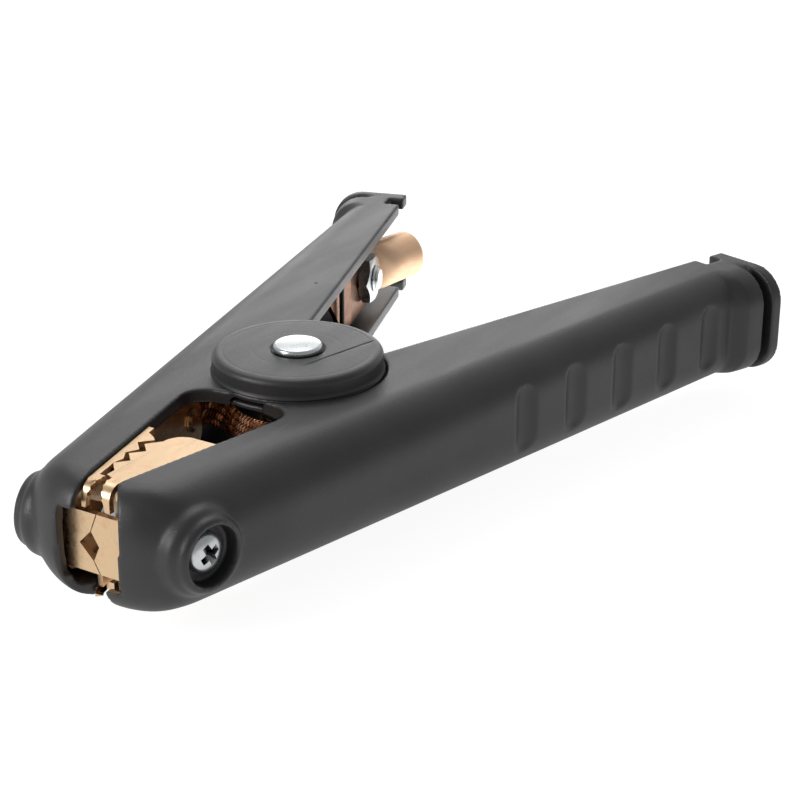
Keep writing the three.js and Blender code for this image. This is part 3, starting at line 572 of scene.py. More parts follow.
def mouth_edge(x):
    share = (x - FRONT_CORNER.x) / (MOUTH_CORNER.x - FRONT_CORNER.x)
    return FRONT_CORNER.y + (MOUTH_CORNER.y - FRONT_CORNER.y) * share


def corner_radius(x):
    share = (x - NOSE_X) / (TAIL.x - NOSE_X)
    return NOSE_CORNER + (TAIL_CORNER - NOSE_CORNER) * share


def web_face(x):
    return WEB_START.y + math.tan(WEB_ANGLE) * (x - WEB_START.x)


def strip_edge(x, inset=0.0):
    """Point on the edge of a jaw's toothed strip that lies along the handle's plate."""
    return x, mouth_edge(x) - STRIP_GAP - inset


def leg_start():
    """Where the spring's leg leaves its coil, in plan."""
    angle = SPRING_ANGLE + QUARTER
    return Vector((SPRING_RADIUS * math.cos(angle), SPRING_RADIUS * math.sin(angle)))


# ------------------------------------------------------------------ handle shell
def nose_drop(x, nose_x, radius):
    into = nose_x + radius - x
    return 0.0 if into <= 0 else radius - math.sqrt(max(radius * radius - into * into, 0.0))


def rounded_side(outer, top, radius, inner):
    """Outline of (y, z) open to the inside: flat above and below, with two round corners outside."""
    return [(inner, -top), *arc(outer - radius, -top + radius, radius, -QUARTER, 0, 18),
            *arc(outer - radius, top - radius, radius, 0, QUARTER, 18), (inner, top)]


def skin(nose_x, plan_radius, side_radius, wall_inset, plate_inset, end_x):
    """D-shaped solid whose nose is rounded in plan and from the side."""
    rings = []
    nose = [nose_x + plan_radius * (1 - math.cos(i / 22 * math.pi / 2)) for i in range(23)]
    straight = [nose[-1] + (end_x - nose[-1]) * i / 12 for i in range(1, 13)]
    for x in nose + straight:
        top = SHELL_TOP - plate_inset - nose_drop(x, nose_x, side_radius)
        outer = outer_wall(x) - wall_inset - nose_drop(x, nose_x, plan_radius)
        radius = min(corner_radius(x) - wall_inset, top - 0.5)
        rings.append([(x, y, z) for y, z in rounded_side(outer, top, radius, -EAR_RADIUS - 2)])
    return loft(rings)


def plate_plan():
    """Plan outline of the plates, with a rounded corner at the rear of the mouth."""
    front_x, rear_x, ear_rear = NOSE_X - 3, TAIL.x + 1, 16
    before_x = MOUTH_CORNER.x - 4
    before, after = (before_x, mouth_edge(before_x)), (-22.2, 9.5)
    bend = (MOUTH_CORNER.x + 0.2, MOUTH_CORNER.y - 0.2)
    corner = []
    for i in range(9):
        t = i / 8
        corner.append(tuple((1 - t) ** 2 * before[k] + 2 * t * (1 - t) * bend[k] + t * t * after[k]
                            for k in range(2)))
    return [(front_x, FRONT_CORNER.y), tuple(FRONT_CORNER), *corner, (-21.4, 4.5), (0, 0),
            (ear_rear, inner_edge(ear_rear)), (rear_x, inner_edge(rear_x)), (rear_x, 90), (front_x, 90)]


def nose_openings():
    """Window for the jaws' front face, and the slant that opens the lower plate's front corner."""
    inner = FRONT_CORNER.y - 1
    window = block(NOSE_X - 1, FRONT_CORNER.x - 1.5, inner, WINDOW_EDGE,
                   -WINDOW_HALF_HEIGHT, WINDOW_HALF_HEIGHT)
    bevel = prism([tuple(FRONT_CORNER), (NOSE_X - 3, WINDOW_EDGE + 3.1), (NOSE_X - 3, inner)],
                  -SHELL_TOP - 1, -1)
    return window, bevel


def collar(start, end, proud_start, proud_end):
    """One collar round the tail, between two places along the handle and as proud as given at each."""
    lean = TAIL_ANGLE - OUTER_LEAN
    wall = (outer_wall(TAIL.x) - TAIL.y) * math.cos(TAIL_ANGLE - lean) / math.cos(lean)
    rings = []
    for u, proud in ((start, proud_start), (end, proud_end)):
        edge = wall - u * math.tan(lean) + proud
        outline = rounded_side(edge, SHELL_TOP, corner_radius(TAIL.x + u) + 1, 4)
        rings.append([(u, v, z) for v, z in outline])
    return loft(rings).moved(tail_frame)


def grip_cutter(x):
    """Upright capsule that sinks a finger grip into the wall."""
    radius = (GRIP_WIDTH * GRIP_WIDTH / 4 + GRIP_DEPTH * GRIP_DEPTH) / (2 * GRIP_DEPTH)
    half = GRIP_HALF_HEIGHT - GRIP_WIDTH / 2
    profile = [*arc(0, -half, radius, -QUARTER, 0, 14), *arc(0, half, radius, 0, QUARTER, 14)]
    reach = radius - GRIP_DEPTH
    place = (x - reach * math.sin(OUTER_LEAN), outer_wall(x) + reach * math.cos(OUTER_LEAN), 0)
    return lathe(profile, 64).moved(Matrix.Translation(place))


def with_ears(body):
    """Rounds about the pivot: the upper ear is the outer half of the plate, the lower one the inner half."""
    middle = (SHELL_TOP + INSIDE) / 2
    body = cut(body, disc(EAR_RADIUS + 0.5, INSIDE - 1, middle + EAR_SPLIT, 96),
               disc(EAR_RADIUS + 0.5, -SHELL_TOP - 1, -middle + EAR_SPLIT, 96))
    for low, high in ((middle + EAR_SPLIT, SHELL_TOP), (-middle + EAR_SPLIT, -INSIDE)):
        link = carve(prism([(-24, 14), (24, 15.5), (24, 34), (-24, 34)], low, high),
                     ("INTERSECT", disc(EAR_RADIUS + 3, low - 0.01, high + 0.01, 96)))
        body = joined(body, disc(EAR_RADIUS, low, high, 96), link)
    return body


def with_boss(body):
    """Screw boss on the nose, with a round foot, a round rim and a sunk seat for the head."""
    foot, rim = 1.6, 1.4
    profile = [(BOSS_RADIUS + foot, SHEET + 0.3), (BOSS_RADIUS + foot, SCREW_RIM - 4.2),
               *arc(BOSS_RADIUS + foot, SCREW_RIM - rim, foot, -QUARTER, -math.pi, 6)[1:],
               *arc(BOSS_RADIUS - rim, SCREW_RIM - rim, rim, 0, QUARTER, 6)]
    seat = SCREW_RIM - SCREW_SINK - HEAD_HEIGHT
    body = joined(body, lathe(profile, 96).moved(screw_frame))
    return cut(body, disc(RECESS_RADIUS, seat, SCREW_RIM + 9, 80).moved(screw_frame),
               disc(BOSS_HOLE, -5, seat + 1, 40).moved(screw_frame))


def with_fittings(body, outer):
    """Anchor for the spring's leg, strap post, tail slot, pivot bore and finger grips."""
    anchor = leg_start() + (SPRING_LEG - 4) * Vector((math.cos(SPRING_ANGLE), math.sin(SPRING_ANGLE)))
    place = Matrix.Translation((anchor.x, anchor.y, -SPRING_LEG_Z)) @ Matrix.Rotation(SPRING_ANGLE, 4, "Z")
    stop = carve(block(-3, 3, SPRING_WIRE + 0.1, 9, -4, 4).moved(place), ("INTERSECT", outer))
    post = block(POST_X - 0.6, POST_X + 0.6, POST_TOP - 1.6, POST_TOP, -INSIDE - 0.5, INSIDE + 0.5)
    slot = block(-10.6, -5.0, -4, 4.6, -20, 20).moved(tail_frame)
    grips = [grip_cutter(GRIP_FIRST_X + GRIP_PITCH * i) for i in range(GRIP_COUNT)]
    return cut(joined(body, stop, post), slot, disc(PIVOT_BORE, -20, 20, 64), *grips)


def moulded(body):
    """Rounds every edge a little, and the boss's foot and the grips' rims more."""
    fine = remeshed(body, VOXEL)
    fine = relaxed(fine, np.full(len(fine.vertices), 0.5), 2)
    to_screw = np.array(screw_frame.inverted())
    u, v, out = (fine.vertices @ to_screw[:3, :3].T + to_screw[:3, 3]).T
    near_boss = np.clip(1 - np.abs(np.hypot(u, v) - BOSS_RADIUS - 1.8) / 2.4, 0, 1) * (out > 6)
    x, y, z = fine.vertices.T
    near_wall = np.clip(1 - np.abs(y - outer_wall(x)) / 2.5, 0, 1)
    first, last = GRIP_FIRST_X - 10, GRIP_FIRST_X + 84
    near_grip = near_wall * (x > first) * (x < last) * (np.abs(z) < GRIP_HALF_HEIGHT + 2)
    fine = relaxed(fine, 0.6 * near_boss, 16)
    return relaxed(fine, 0.5 * near_grip, 5)


def handle_shell():
    """The cable handle's shell. The plain handle's is the same moulding turned over."""
    outer = skin(NOSE_X, plan_radius=14, side_radius=9, wall_inset=0, plate_inset=0, end_x=TAIL.x + 6)
    cavity = skin(NOSE_X + 2.8, plan_radius=11.5, side_radius=1.5, wall_inset=WALL, plate_inset=PLATE,
                  end_x=TAIL.x + 12)
    flange, lip = collar(-3.3, 0, 6.1, 6.6), collar(-9, -5.7, 4.3, 4.8)
    valley, slope = collar(-11.6, -8.99, 3.7, 4.3), collar(-15, -11.59, 0.1, 3.7)
    beyond_tail = block(0, 30, -90, 40, -40, 40).moved(tail_frame)
    body = carve(outer, ("INTERSECT", prism(plate_plan()[::-1], -SHELL_TOP - 1, SHELL_TOP + 1)))
    body = joined(body, flange, lip, valley, slope)
    body = cut(body, cavity, beyond_tail, *nose_openings())
    return moulded(with_fittings(with_boss(with_ears(body)), outer))


# ------------------------------------------------------------------ jaws
def teeth(even_offset, odd_offset):
    """Saw teeth from the front back, about the line that both rows mesh on."""
    points = []
    for i in range(6, 0, -1):
        x = TOOTH_REAR_X - i * TOOTH_PITCH / 2
        y = MESH_START + MESH_SLOPE * (x - FRONT_CORNER.x) + (odd_offset if i % 2 else even_offset)
        points.append((x, min(y, mouth_edge(x) - STRIP_GAP - SHEET)))
    return points


def front_curl(top_edges, foot_edges):
    """Sheet that rolls over from a toothed strip down towards the front face, narrower as it goes."""
    radius = 2.9
    x, z = WEB_START.x + SHEET / 2 + radius, JAW_TOP - SHEET / 2 - radius
    line = [(x + 1.6, JAW_TOP - SHEET / 2, 0.0), (x + 0.8, JAW_TOP - SHEET / 2, 0.0)]
    for i in range(11):
        angle = math.pi / 2 * (1 + i / 10)
        line.append((x + radius * math.cos(angle), z + radius * math.sin(angle), angle - math.pi / 2))
    line.append((line[-1][0], line[-1][1] - 2.2, QUARTER))
    rings = []
    for i, (x, z, turn) in enumerate(line):
        share = (i / (len(line) - 1)) ** 1.4
        low = top_edges[0] + (foot_edges[0] - top_edges[0]) * share + 0.22 * math.sin(2.1 * i)
        high = top_edges[1] + (foot_edges[1] - top_edges[1]) * share
        out_x, out_z = -math.sin(turn) * SHEET / 2, math.cos(turn) * SHEET / 2
        rings.append([(x - out_x, low, z - out_z), (x + out_x, low, z + out_z),
                      (x + out_x, high, z + out_z), (x - out_x, high, z - out_z)])
    return loft(rings)


def jaw_channel():
    """Web with its tail, channel flanges and the joggles up to the strips, all from one sheet."""
    away = SHEET / math.cos(WEB_ANGLE)
    rear, tail, front = JAW_REAR_X, TAIL_END_X, FRONT_CORNER.x
    fold = 1.3
    corner = arc(WEB_START.x + fold, WEB_START.y + away - fold, fold, QUARTER, math.pi, 6)
    plan = [(WEB_START.x, WEB_START.y), (tail, web_face(tail)), (tail, web_face(tail) + away), *corner]
    front_half = [(rear, CHANNEL_TOP), (-70, CHANNEL_TOP), (-75.6, 9), (WEB_START.x - 1, 6.4)]
    side = [*arc(tail - 5, -2, 5, -QUARTER, 0, 12), *arc(tail - 5, 2, 5, 0, QUARTER, 12),
            (-17, 7.2), (rear + 5, 8.8), *front_half, *[(x, -z) for x, z in reversed(front_half)],
            (rear + 5, -8.8), (-17, -7.2)]
    web = carve(prism(plan, -CHANNEL_TOP, CHANNEL_TOP), ("INTERSECT", upright(side, -5, 40)))
    flange = [strip_edge(front + 2, SHEET), strip_edge(rear, SHEET), (rear, web_face(rear) + away / 2),
              (front + 2, web_face(front + 2) + away / 2)]
    joggle = [strip_edge(front + 1, SHEET), strip_edge(rear, SHEET), strip_edge(rear), strip_edge(front + 1)]
    low = CHANNEL_TOP - SHEET
    shapes = []
    for high, outline in ((CHANNEL_TOP, flange), (JAW_TOP, joggle)):
        shapes += [prism(outline, low, high), prism(outline, -high, -low)]
    return joined(web, *shapes)


def jaw(strip, face, curl):
    low = JAW_TOP - SHEET
    body = joined(jaw_channel(), prism(strip, low, JAW_TOP), prism(strip, -JAW_TOP, -low),
                  across_front(face, WEB_START.x, WEB_START.x + SHEET), curl,
                  curl.moved(Matrix.Diagonal((1, 1, -1, 1))))
    return cut(body, disc(JAW_HOLE, -3, 3, 48).moved(screw_frame))


def front_face(edge):
    """Outline of (y, z) of a jaw's front face, from its edge on the meeting line."""
    root, half = WEB_START.y + 0.3, FACE_HALF_HEIGHT
    return [(root, half), *edge, (root, -half)]


def cable_jaw():
    strip = [strip_edge(-74.6), (-75.6, 3.0), (-74.4, 1.7), (-71.2, 3.9), *teeth(-0.1, 2.7),
             (TOOTH_REAR_X, 3.9), (-50.0, 5.2), (-49.0, 6.9), (-48.3, 8.0), strip_edge(-47.8)]
    edge = [(0.15, FACE_HALF_HEIGHT), (2.05, 2.7), (5.2, -0.6), (1.65, -4.2), (-0.05, -FACE_HALF_HEIGHT)]
    return jaw(strip, front_face(edge), front_curl((1.2, 3.7), (2.7, 3.9)))


def plain_jaw():
    """Drawn on the +Y side and mirrored to its own side."""
    strip = [strip_edge(-72.9), (-71, -1.4), *[(x, -y) for x, y in teeth(-2.1, 0.6)], (-50.8, -1.9),
             (-49.3, -1.7), (-48.1, -1.1), (-47.2, -0.5), (-46.6, 0.3), (-46.1, 1.3), (-45.8, 2.4),
             strip_edge(-45.8)]
    edge = [(0.15, FACE_HALF_HEIGHT), (-1.75, 2.7), (0.3, -0.6), (-1.35, -4.2), (0.35, -FACE_HALF_HEIGHT)]
    drawn = jaw(strip, front_face(edge), front_curl((0.5, 3.7), (2.3, 3.9)))
    return drawn.moved(Matrix.Diagonal((1, -1, 1, 1)))


# ------------------------------------------------------------------ screws, nuts and bolt
def cross_recess(top):
    """Two tapered arms of a cross recess."""
    reach, width, depth = 2.75, 1.9, 2.3
    arms = []
    for turn in (0, QUARTER):
        foot, mouth = [[(-a, -b), (a, -b), (a, b), (-a, b)] for a, b in
                       ((0.35 * reach, 0.25 * width), (1.15 * reach, 0.55 * width))]
        arm = loft([[(x, y, top - depth) for x, y in foot], [(x, y, top + 0.5) for x, y in mouth]])
        arms.append(arm.moved(Matrix.Rotation(turn, 4, "Z")))
    return arms


def thread(radius, z0, z1, pitch, depth):
    """Profile points of a threaded shank, as rings."""
    points = []
    count = max(1, round((z1 - z0) / pitch))
    for i in range(count):
        z = z0 + (z1 - z0) * i / count
        points += [(radius - depth, z), (radius - depth, z + 0.12 * pitch), (radius, z + 0.5 * pitch),
                   (radius, z + 0.62 * pitch)]
    return points


def jaw_screw():
    """M5 pan head screw with a cross recess."""
    crown = SCREW_RIM - SCREW_SINK
    seat = crown - HEAD_HEIGHT
    rim = 1.1
    profile = [(1.9, -5.2), *thread(2.45, -4.9, seat - 0.3, 0.8, 0.35), (2.4, seat + 0.05),
               (HEAD_RADIUS - 0.25, seat + 0.05), (HEAD_RADIUS, seat + 0.3), (HEAD_RADIUS, seat + rim)]
    for i in range(1, 15):
        angle = math.pi / 2 * i / 14
        profile.append((HEAD_RADIUS * math.cos(angle), seat + rim + (HEAD_HEIGHT - rim) * math.sin(angle)))
    turn = Matrix.Rotation(math.radians(28), 4, "Z")
    return cut(lathe(profile, 72), *[arm.moved(turn) for arm in cross_recess(crown)])


def hexagon_piece(across, z0, z1, bore=None):
    """Hexagon with both faces turned to a cone at the corners, with an optional bore."""
    corner = across / math.sqrt(3)
    flat = across / 2 - 0.2
    rise = 0.665 * (corner - across / 2)
    blank = loft([circle(corner, 6, z0), circle(corner, 6, z1)])
    turned = lathe([(flat, z0 - 0.02), (corner + 0.05, z0 + rise), (corner + 0.05, z1 - rise),
                    (flat, z1 + 0.02)])
    shape = carve(blank, ("INTERSECT", turned))
    if bore:
        mouth = bore + 0.5
        profile = [(mouth, z0 - 0.3), (bore, z0 + 0.5), (bore, z1 - 0.5), (mouth, z1 + 0.3)]
        shape = cut(shape, lathe(profile, 64))
    return shape


def lug_bolt():
    """M8 bolt with a hexagon head."""
    low, high = -5.2, 11.0
    shank = [(2.9, low), (3.3, low + 0.4), *thread(3.95, low + 0.6, 1.2, 1.25, 0.55), (3.9, 1.6), (3.9, 7.2)]
    return joined(hexagon_piece(BOLT_ACROSS, 6.4, high), lathe(shank, 80))


def lock_washer():
    """Split spring washer."""
    ring = cut(lathe([(6.3, 4.7), (6.6, 5.0), (6.6, 6.0), (6.3, 6.3)]), disc(BOLT_HOLE, 0, 10, 80))
    gap = block(3, 8, -0.4, 0.4, 0, 12).moved(Matrix.Rotation(math.radians(20), 4, "X"))
    return cut(ring, gap)


# ------------------------------------------------------------------ pivot
def cap_drop(x, y, r, radius):
    """How far the cap's top is below its flat: knit line, rivet seat and two faint rings, less a crown."""
    along = KNIT_NORMAL.y * x - KNIT_NORMAL.x * y
    across = KNIT_NORMAL.dot(Vector((x, y))) + KNIT_OFFSET
    fade = max(0.0, min(1.0, (along + 7.5) / 3, (17.8 - along) / 1.5))
    line = 0.3 * fade * math.exp(-(across / 0.17) ** 2)
    seat = 0.55 / (1 + math.exp((r - 6.5) / 0.12))
    rings = 0.035 * math.exp(-((r - 18.3) / 0.3) ** 2) + 0.02 * math.exp(-((r - 11.0) / 0.4) ** 2)
    crown = 0.12 * (1 - (r / radius) ** 2) * (r > 7)
    return line + seat + rings - crown


def pivot_cap():
    """Round cap: thin base ring, rounded edge, a dished seat for the rivet and a faint knit line across."""
    base, top = CAP_LOW.z, CAP_HIGH.z
    radius, bore, edge = CAP_HIGH.x - 0.35, 4.1, 1.7
    steps = 360
    rings = [(bore, base, False), (radius + 0.35, base, False), (radius + 0.3, base + 0.15, False),
             (radius + 0.1, base + 0.5, False), (radius, base + 1.0, False)]
    rings += [(r, z, False) for r, z in arc(radius - edge, top - edge, edge, 0, QUARTER, 8)]
    rings += [(r, top, True) for r in np.linspace(bore, radius - edge, 74)[-2::-1]]
    vertices, faces = [], []
    for r, z, is_top in rings:
        for x, y, _ in circle(r, steps):
            vertices.append((x, y, z - (cap_drop(x, y, r, radius) if is_top else 0.0)))
    for k in range(len(rings)):
        for i in range(steps):
            j = (i + 1) % steps
            a, b = k * steps, ((k + 1) % len(rings)) * steps
            faces.append((a + i, a + j, b + j, b + i))
    return Geometry(vertices, faces)


def pivot_rivet():
    """Headed at both ends, with a slightly uneven struck face."""
    head, under, top = 6.06, CAP_HIGH.z + 0.1, HALF_HEIGHT
    upper = [(4.0, under - 0.3), (head - 0.2, under - 0.3), (head, under - 0.1), (head, under + 0.4)]
    for i in range(1, 11):
        angle = math.pi / 2 * i / 10
        upper.append((head * (0.86 + 0.14 * math.cos(angle)),
                      under + 0.4 + (top - under - 0.7) * math.sin(angle)))
    upper += [(0.7 * head, top - 0.12), (0.5 * head, top), (0.01, top - 0.03)]
    lower = [(r, -z) for r, z in reversed(upper)]
    return lathe(lower + upper)


# ------------------------------------------------------------------ spring and braid
def spring_path():
    """One leg, the turns about the pivot and the other leg, which is the first one turned over."""
    start, start_angle = leg_start(), SPRING_ANGLE + QUARTER
    low = [(start.x + d * math.cos(SPRING_ANGLE), start.y + d * math.sin(SPRING_ANGLE), -SPRING_LEG_Z)
           for d in np.linspace(SPRING_LEG, 0, 40, endpoint=False)]
    sweep_angle = TAU * (SPRING_TURNS + 1) - 2 * start_angle
    coil = []
    for t in np.linspace(0, 1, 260):
        angle = start_angle + t * sweep_angle
        coil.append((SPRING_RADIUS * math.cos(angle), SPRING_RADIUS * math.sin(angle),
                     (2 * t - 1) * SPRING_LEG_Z))
    high = [(x, -y, -z) for x, y, z in reversed(low)]
    return low + coil + high


def smooth_line(points, per_span):
    """Smooth curve through points."""
    p = [Vector(q) for q in points]
    p = [2 * p[0] - p[1], *p, 2 * p[-1] - p[-2]]
    curve = [through(*p[i - 1:i + 3], k / per_span) for i in range(1, len(p) - 2) for k in range(per_span)]
    curve.append(p[-2])
    return curve


def braid_line():
    """Middle of the braid, from one jaw's tail round in front of the pivot to the other's."""
    off_web = SHEET + 0.1 + 0.9
    on_tail = [(x - off_web * math.sin(WEB_ANGLE), web_face(x) + off_web * math.cos(WEB_ANGLE), 0)
               for x in (-21, -17, -13, -9.6)]
    side = [*on_tail, (-7.1, 22.2, 0), (-8.4, 16.5, 0), (-13.2, 9.5, 0), (-15.6, 3.4, 0)]
    return smooth_line(side + [(x, -y, z) for x, y, z in reversed(side)], 26)


def braid_wire(strand, wire, line, lengths):
    """One wire, which winds round the flat strap with its strand and dips under the strands it crosses."""
    path = []
    for i, point in enumerate(line):
        ahead = ahead_of(line, i)
        out = Vector((-ahead.y, ahead.x, 0))
        turns = lengths[i] / BRAID_PITCH
        phase = (turns + strand / BRAID_STRANDS) % 1.0
        across = 4 * abs(phase - 0.5) - 1
        face = 1 if phase < 0.5 else -1
        weave = math.cos(TAU * (turns * BRAID_STRANDS / 2 + strand * 0.5))
        edge = max(0.0, abs(across) - 0.85) / 0.15
        height = (0.32 * face + 0.22 * weave) * (1 - edge)
        spread = (wire - (BRAID_WIRES - 1) / 2) * 0.44
        z = BRAID_Z + across * (BRAID_HALF_WIDTH - 0.6) + spread
        path.append(point + out * height + Vector((0, 0, z)))
    return sweep(path, 0.21, 5)


def braid():
    """Flat woven strap made of crossing strands of fine wires."""
    line = braid_line()
    lengths = [0.0]
    for a, b in zip(line, line[1:]):
        lengths.append(lengths[-1] + (b - a).length)
    return merged([braid_wire(strand, wire, line, lengths)
                   for strand in range(BRAID_STRANDS) for wire in range(BRAID_WIRES)])


# ------------------------------------------------------------------ lug
def barrel_section(back, radius):
    x = BARREL_END[0] - back * math.cos(BARREL_TILT)
    z = BARREL_END[1] + back * math.sin(BARREL_TILT)
    return x, z, BARREL_TILT, radius, radius, 1.0


def lug_sections():
    """Rows of x, z, lean, half thickness, half height and squareness, from the palm to the barrel's end."""
    middle, flat = PALM_IN + PALM / 2, PALM / 2
    palm = [(-9.1, middle, 0, flat - 0.25, 6.0, 0.35), (-8.6, middle, 0, flat, 6.9, 0.35),
            (-7.2, middle, 0, flat, 8.1, 0.35), (-5.0, middle, 0, flat, 8.6, 0.35),
            (1.0, middle, 0, flat, 8.6, 0.35), (7.0, middle, 0, flat + 0.05, 8.6, 0.38)]
    neck = [(9.2, middle - 0.9, BARREL_TILT * 0.4, 3.0, 8.4, 0.7),
            (11.6, -0.2, BARREL_TILT * 0.8, 5.6, 8.0, 0.92)]
    barrel = [barrel_section(back, BARREL_RADIUS + more)
              for back, more in ((11, 0.25), (7, 0.12), (3, 0), (0.7, 0), (0.2, -0.18), (0, -0.5))]
    rows = [np.array(row) for row in (*palm, *neck, *barrel)]

    last = len(rows) - 1
    smooth_spans = range(len(palm) - 1, 10)
    dense = []
    for i in range(last):
        before, start, end, after = [rows[max(0, min(last, i + k))] for k in (-1, 0, 1, 2)]
        for t in np.linspace(0, 1, 5, endpoint=False):
            dense.append(through(before, start, end, after, t) if i in smooth_spans
                         else start + (end - start) * t)
    dense = np.array([*dense, rows[-1]])
    neck_start, neck_end = 24, 46
    for _ in range(10):
        dense[neck_start:neck_end] = (dense[neck_start - 1:neck_end - 1] + 2 * dense[neck_start:neck_end]
                                      + dense[neck_start + 1:neck_end + 1]) / 4
    return dense


def cable_lug():
    """Crimp lug: flat palm that swells into a round open barrel."""
    rings = []
    for x, z, lean, half_thickness, half_height, square in lug_sections():
        ring = []
        for c, s, _ in circle(1.0, 72):
            out = half_thickness * math.copysign(abs(c) ** square, c)
            up = half_height * math.copysign(abs(s) ** square, s)
            ring.append((x + out * math.sin(lean), up, z + out * math.cos(lean)))
        rings.append(ring)
    bore = lathe([(4.9, -12), (5.2, -11.5), (5.2, -0.5), (5.6, 0.3)], 72)
    x, z = BARREL_END
    place = Matrix.Translation((x, 0, z)) @ Matrix.Rotation(QUARTER + BARREL_TILT, 4, "Y")
    return cut(loft(rings), bore.moved(place), disc(BOLT_HOLE, -10, 15, 72))


# ------------------------------------------------------------------ the clamp
def add_shells():
    shell = handle_shell()
    piece("shell_cable", shell, "black_plastic", "cable_handle", "cable_handle_shell", 60)
    piece("shell_plain", shell.turned_over(), "black_plastic", "plain_handle", "plain_handle_shell", 60)


def add_pivot():
    cap = pivot_cap()
    piece("cap_top", cap, "black_plastic", "cable_handle", "top_pivot_cap", 50)
    piece("cap_bottom", cap.turned_over(), "black_plastic", "cable_handle", "bottom_pivot_cap", 50)
    piece("rivet", pivot_rivet(), "zinc", "cable_handle", "pivot_rivet", 50)


def add_fasteners_and_lug():
    screw = jaw_screw().moved(screw_frame)
    nut = hexagon_piece(BOLT_ACROSS, -3.6, -0.1, 3.4)
    piece("screw_cable", screw, "zinc", "cable_handle", "cable_jaw_screw", 35)
    piece("screw_plain", screw.turned_over(), "zinc", "plain_handle", "plain_jaw_screw", 35)
    piece("lug", cable_lug().moved(lug_frame), "satin_copper", "cable_handle", "cable_lug", 35)
    piece("lug_bolt_threaded", lug_bolt().moved(lug_frame), "zinc", "cable_handle", "lug_bolt", 25)
    piece("lug_spring_washer", lock_washer().moved(lug_frame), "zinc", "cable_handle", "lug_lock_washer", 30)
    piece("lug_hex_nut", nut.moved(lug_frame), "zinc", "cable_handle", "lug_nut", 25)


def add_spring_and_braid():
    """Both reach from one handle to the other, so they ride on neither body."""
    wire = sweep(spring_path(), SPRING_WIRE, 16)
    spring = piece("spring", wire, "spring_steel", "cable_handle", "torsion_spring", 50, rides=False)
    weave = piece("braid", braid(), "braided_copper", "cable_handle", "jaw_braid", 70, rides=False)
    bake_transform(spring)
    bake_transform(weave)


def add_jaws():
    for side, shape in (("cable", cable_jaw()), ("plain", plain_jaw())):
        bevelled(piece(f"jaw_{side}_toothed", shape, "copper", f"{side}_handle", f"{side}_jaw", 30), 0.28)


def finish_kept_nodes():
    """CAD nodes that are shown as they are, with a finish and rounded edges."""
    for node, material, width in KEPT_NODES:
        dress(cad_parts[node], material, 30)
        bevelled(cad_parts[node], width)


# ------------------------------------------------------------------ studio
BACK_OF_ROOM = Vector((0.88, 0.4, 0.3))
LIGHTS = (
    ("overhead", (0.35, 0.35, 0.85), 0.7, 2.2),
    ("backdrop", (0.66, 0.39, 0.12), 0.34, 0.76),
    ("front", (-0.8, 0.5, 0.45), 0.35, 3.8),
)


def mixed(shader, share, first, second):
    """Two surfaces mixed; share is the second one's, as a number or another node's output."""
    mix = shader.nodes.new("ShaderNodeMixShader")
    shader.feed(mix.inputs["Fac"], share)
    shader.links.new(first, mix.inputs[1])
    shader.links.new(second, mix.inputs[2])
    return mix.outputs["Shader"]


def glow(shader, strength):
    node = shader.nodes.new("ShaderNodeEmission")
    shader.feed(node.inputs["Strength"], strength)
    return node.outputs["Emission"]


def floor_material():
    """Nearly shadowless to the camera; to the clamp it is grey, and brighter behind the handle tails."""
    look = Shader("floor")
    look.put("Base Color", look.colours(look.noise(3, 2), (0.93, 0.93, 0.93), (0.96, 0.96, 0.96)))
    look.put("Roughness", 0.9)
    grey = look.nodes.new("ShaderNodeBsdfDiffuse")
    grey.inputs["Color"].default_value = (0.74, 0.74, 0.74, 1)
    behind_tails = look.spot((165, 60, -HALF_HEIGHT), 115, 0.4)
    lit = glow(look, look.ramp(behind_tails, 0.0, 1.0, 1.1, 3.4))
    shown = mixed(look, 0.72, look.surface.outputs["BSDF"], glow(look, 1.28))
    bounced = mixed(look, 0.5, grey.outputs["BSDF"], lit)
    is_camera = look.nodes.new("ShaderNodeLightPath").outputs["Is Camera Ray"]
    look.links.new(mixed(look, is_camera, bounced, shown), look.nodes["Material Output"].inputs["Surface"])
    return look.material


def white_floor():
    mesh = bpy.data.meshes.new("floor")
    mesh.from_pydata([(-6, -6, 0), (6, -6, 0), (6, 6, 0), (-6, 6, 0)], [], [(0, 1, 2, 3)])
    mesh.materials.append(floor_material())
    linked("floor", mesh)


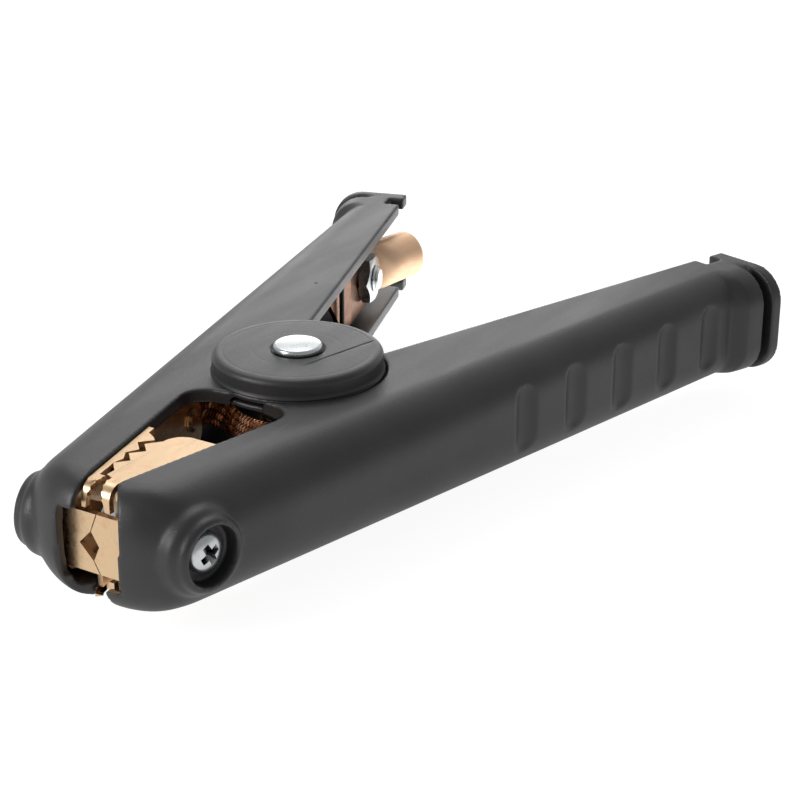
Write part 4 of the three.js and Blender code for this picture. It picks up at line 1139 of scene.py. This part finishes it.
def room():
    """White to the camera; to the clamp it is bright behind and dim on the camera's side."""
    world = bpy.data.worlds.new("room")
    world.use_nodes = True
    nodes, links = world.node_tree.nodes, world.node_tree.links
    place = nodes.new("ShaderNodeTexCoord")
    facing = nodes.new("ShaderNodeVectorMath")
    facing.operation = "DOT_PRODUCT"
    facing.inputs[1].default_value = BACK_OF_ROOM
    links.new(place.outputs["Generated"], facing.inputs[0])
    level = nodes.new("ShaderNodeMapRange")
    for name, number in (("From Min", 0.2), ("From Max", 0.95), ("To Min", 0.3), ("To Max", 0.72)):
        level.inputs[name].default_value = number
    links.new(facing.outputs["Value"], level.inputs["Value"])
    path = nodes.new("ShaderNodeLightPath")
    strength = nodes.new("ShaderNodeMix")
    links.new(path.outputs["Is Camera Ray"], strength.inputs["Factor"])
    links.new(level.outputs["Result"], strength.inputs[2])
    strength.inputs[3].default_value = 1.0
    links.new(strength.outputs[0], nodes["Background"].inputs["Strength"])
    nodes["Background"].inputs["Color"].default_value = (1, 1, 1, 1)
    bpy.context.scene.world = world


def soft_light(name, place, size, power):
    light = bpy.data.lights.new(name, "AREA")
    light.size = size
    light.energy = power
    lamp = linked(name, light)
    lamp.location = place
    aim = Vector((0.02, 0, 0.02)) - Vector(place)
    lamp.rotation_euler = aim.to_track_quat("-Z", "Y").to_euler()


def studio():
    white_floor()
    room()
    for light in LIGHTS:
        soft_light(*light)
    bpy.context.scene.view_settings.view_transform = "Standard"


def camera():
    """Looks down 23 degrees at the clamp from in front of the nose, on the plain handle's side."""
    azimuth, elevation, distance = math.radians(211.87), math.radians(23.0), 0.5085
    target = Vector((0.02598, -0.01313, cad_high.z / 2))
    lens = bpy.data.cameras.new("camera")
    lens.lens = 90.1
    lens.sensor_width = 36
    lens.clip_start = 0.01
    viewer = linked("camera", lens)
    level = math.cos(elevation)
    back = Vector((level * math.cos(azimuth), level * math.sin(azimuth), math.sin(elevation)))
    viewer.location = target + distance * back
    viewer.rotation_euler = (-back).to_track_quat("-Z", "Y").to_euler()
    bpy.context.scene.camera = viewer


add_shells()
add_pivot()
add_fasteners_and_lug()
add_spring_and_braid()
add_jaws()
finish_kept_nodes()
studio()
camera()
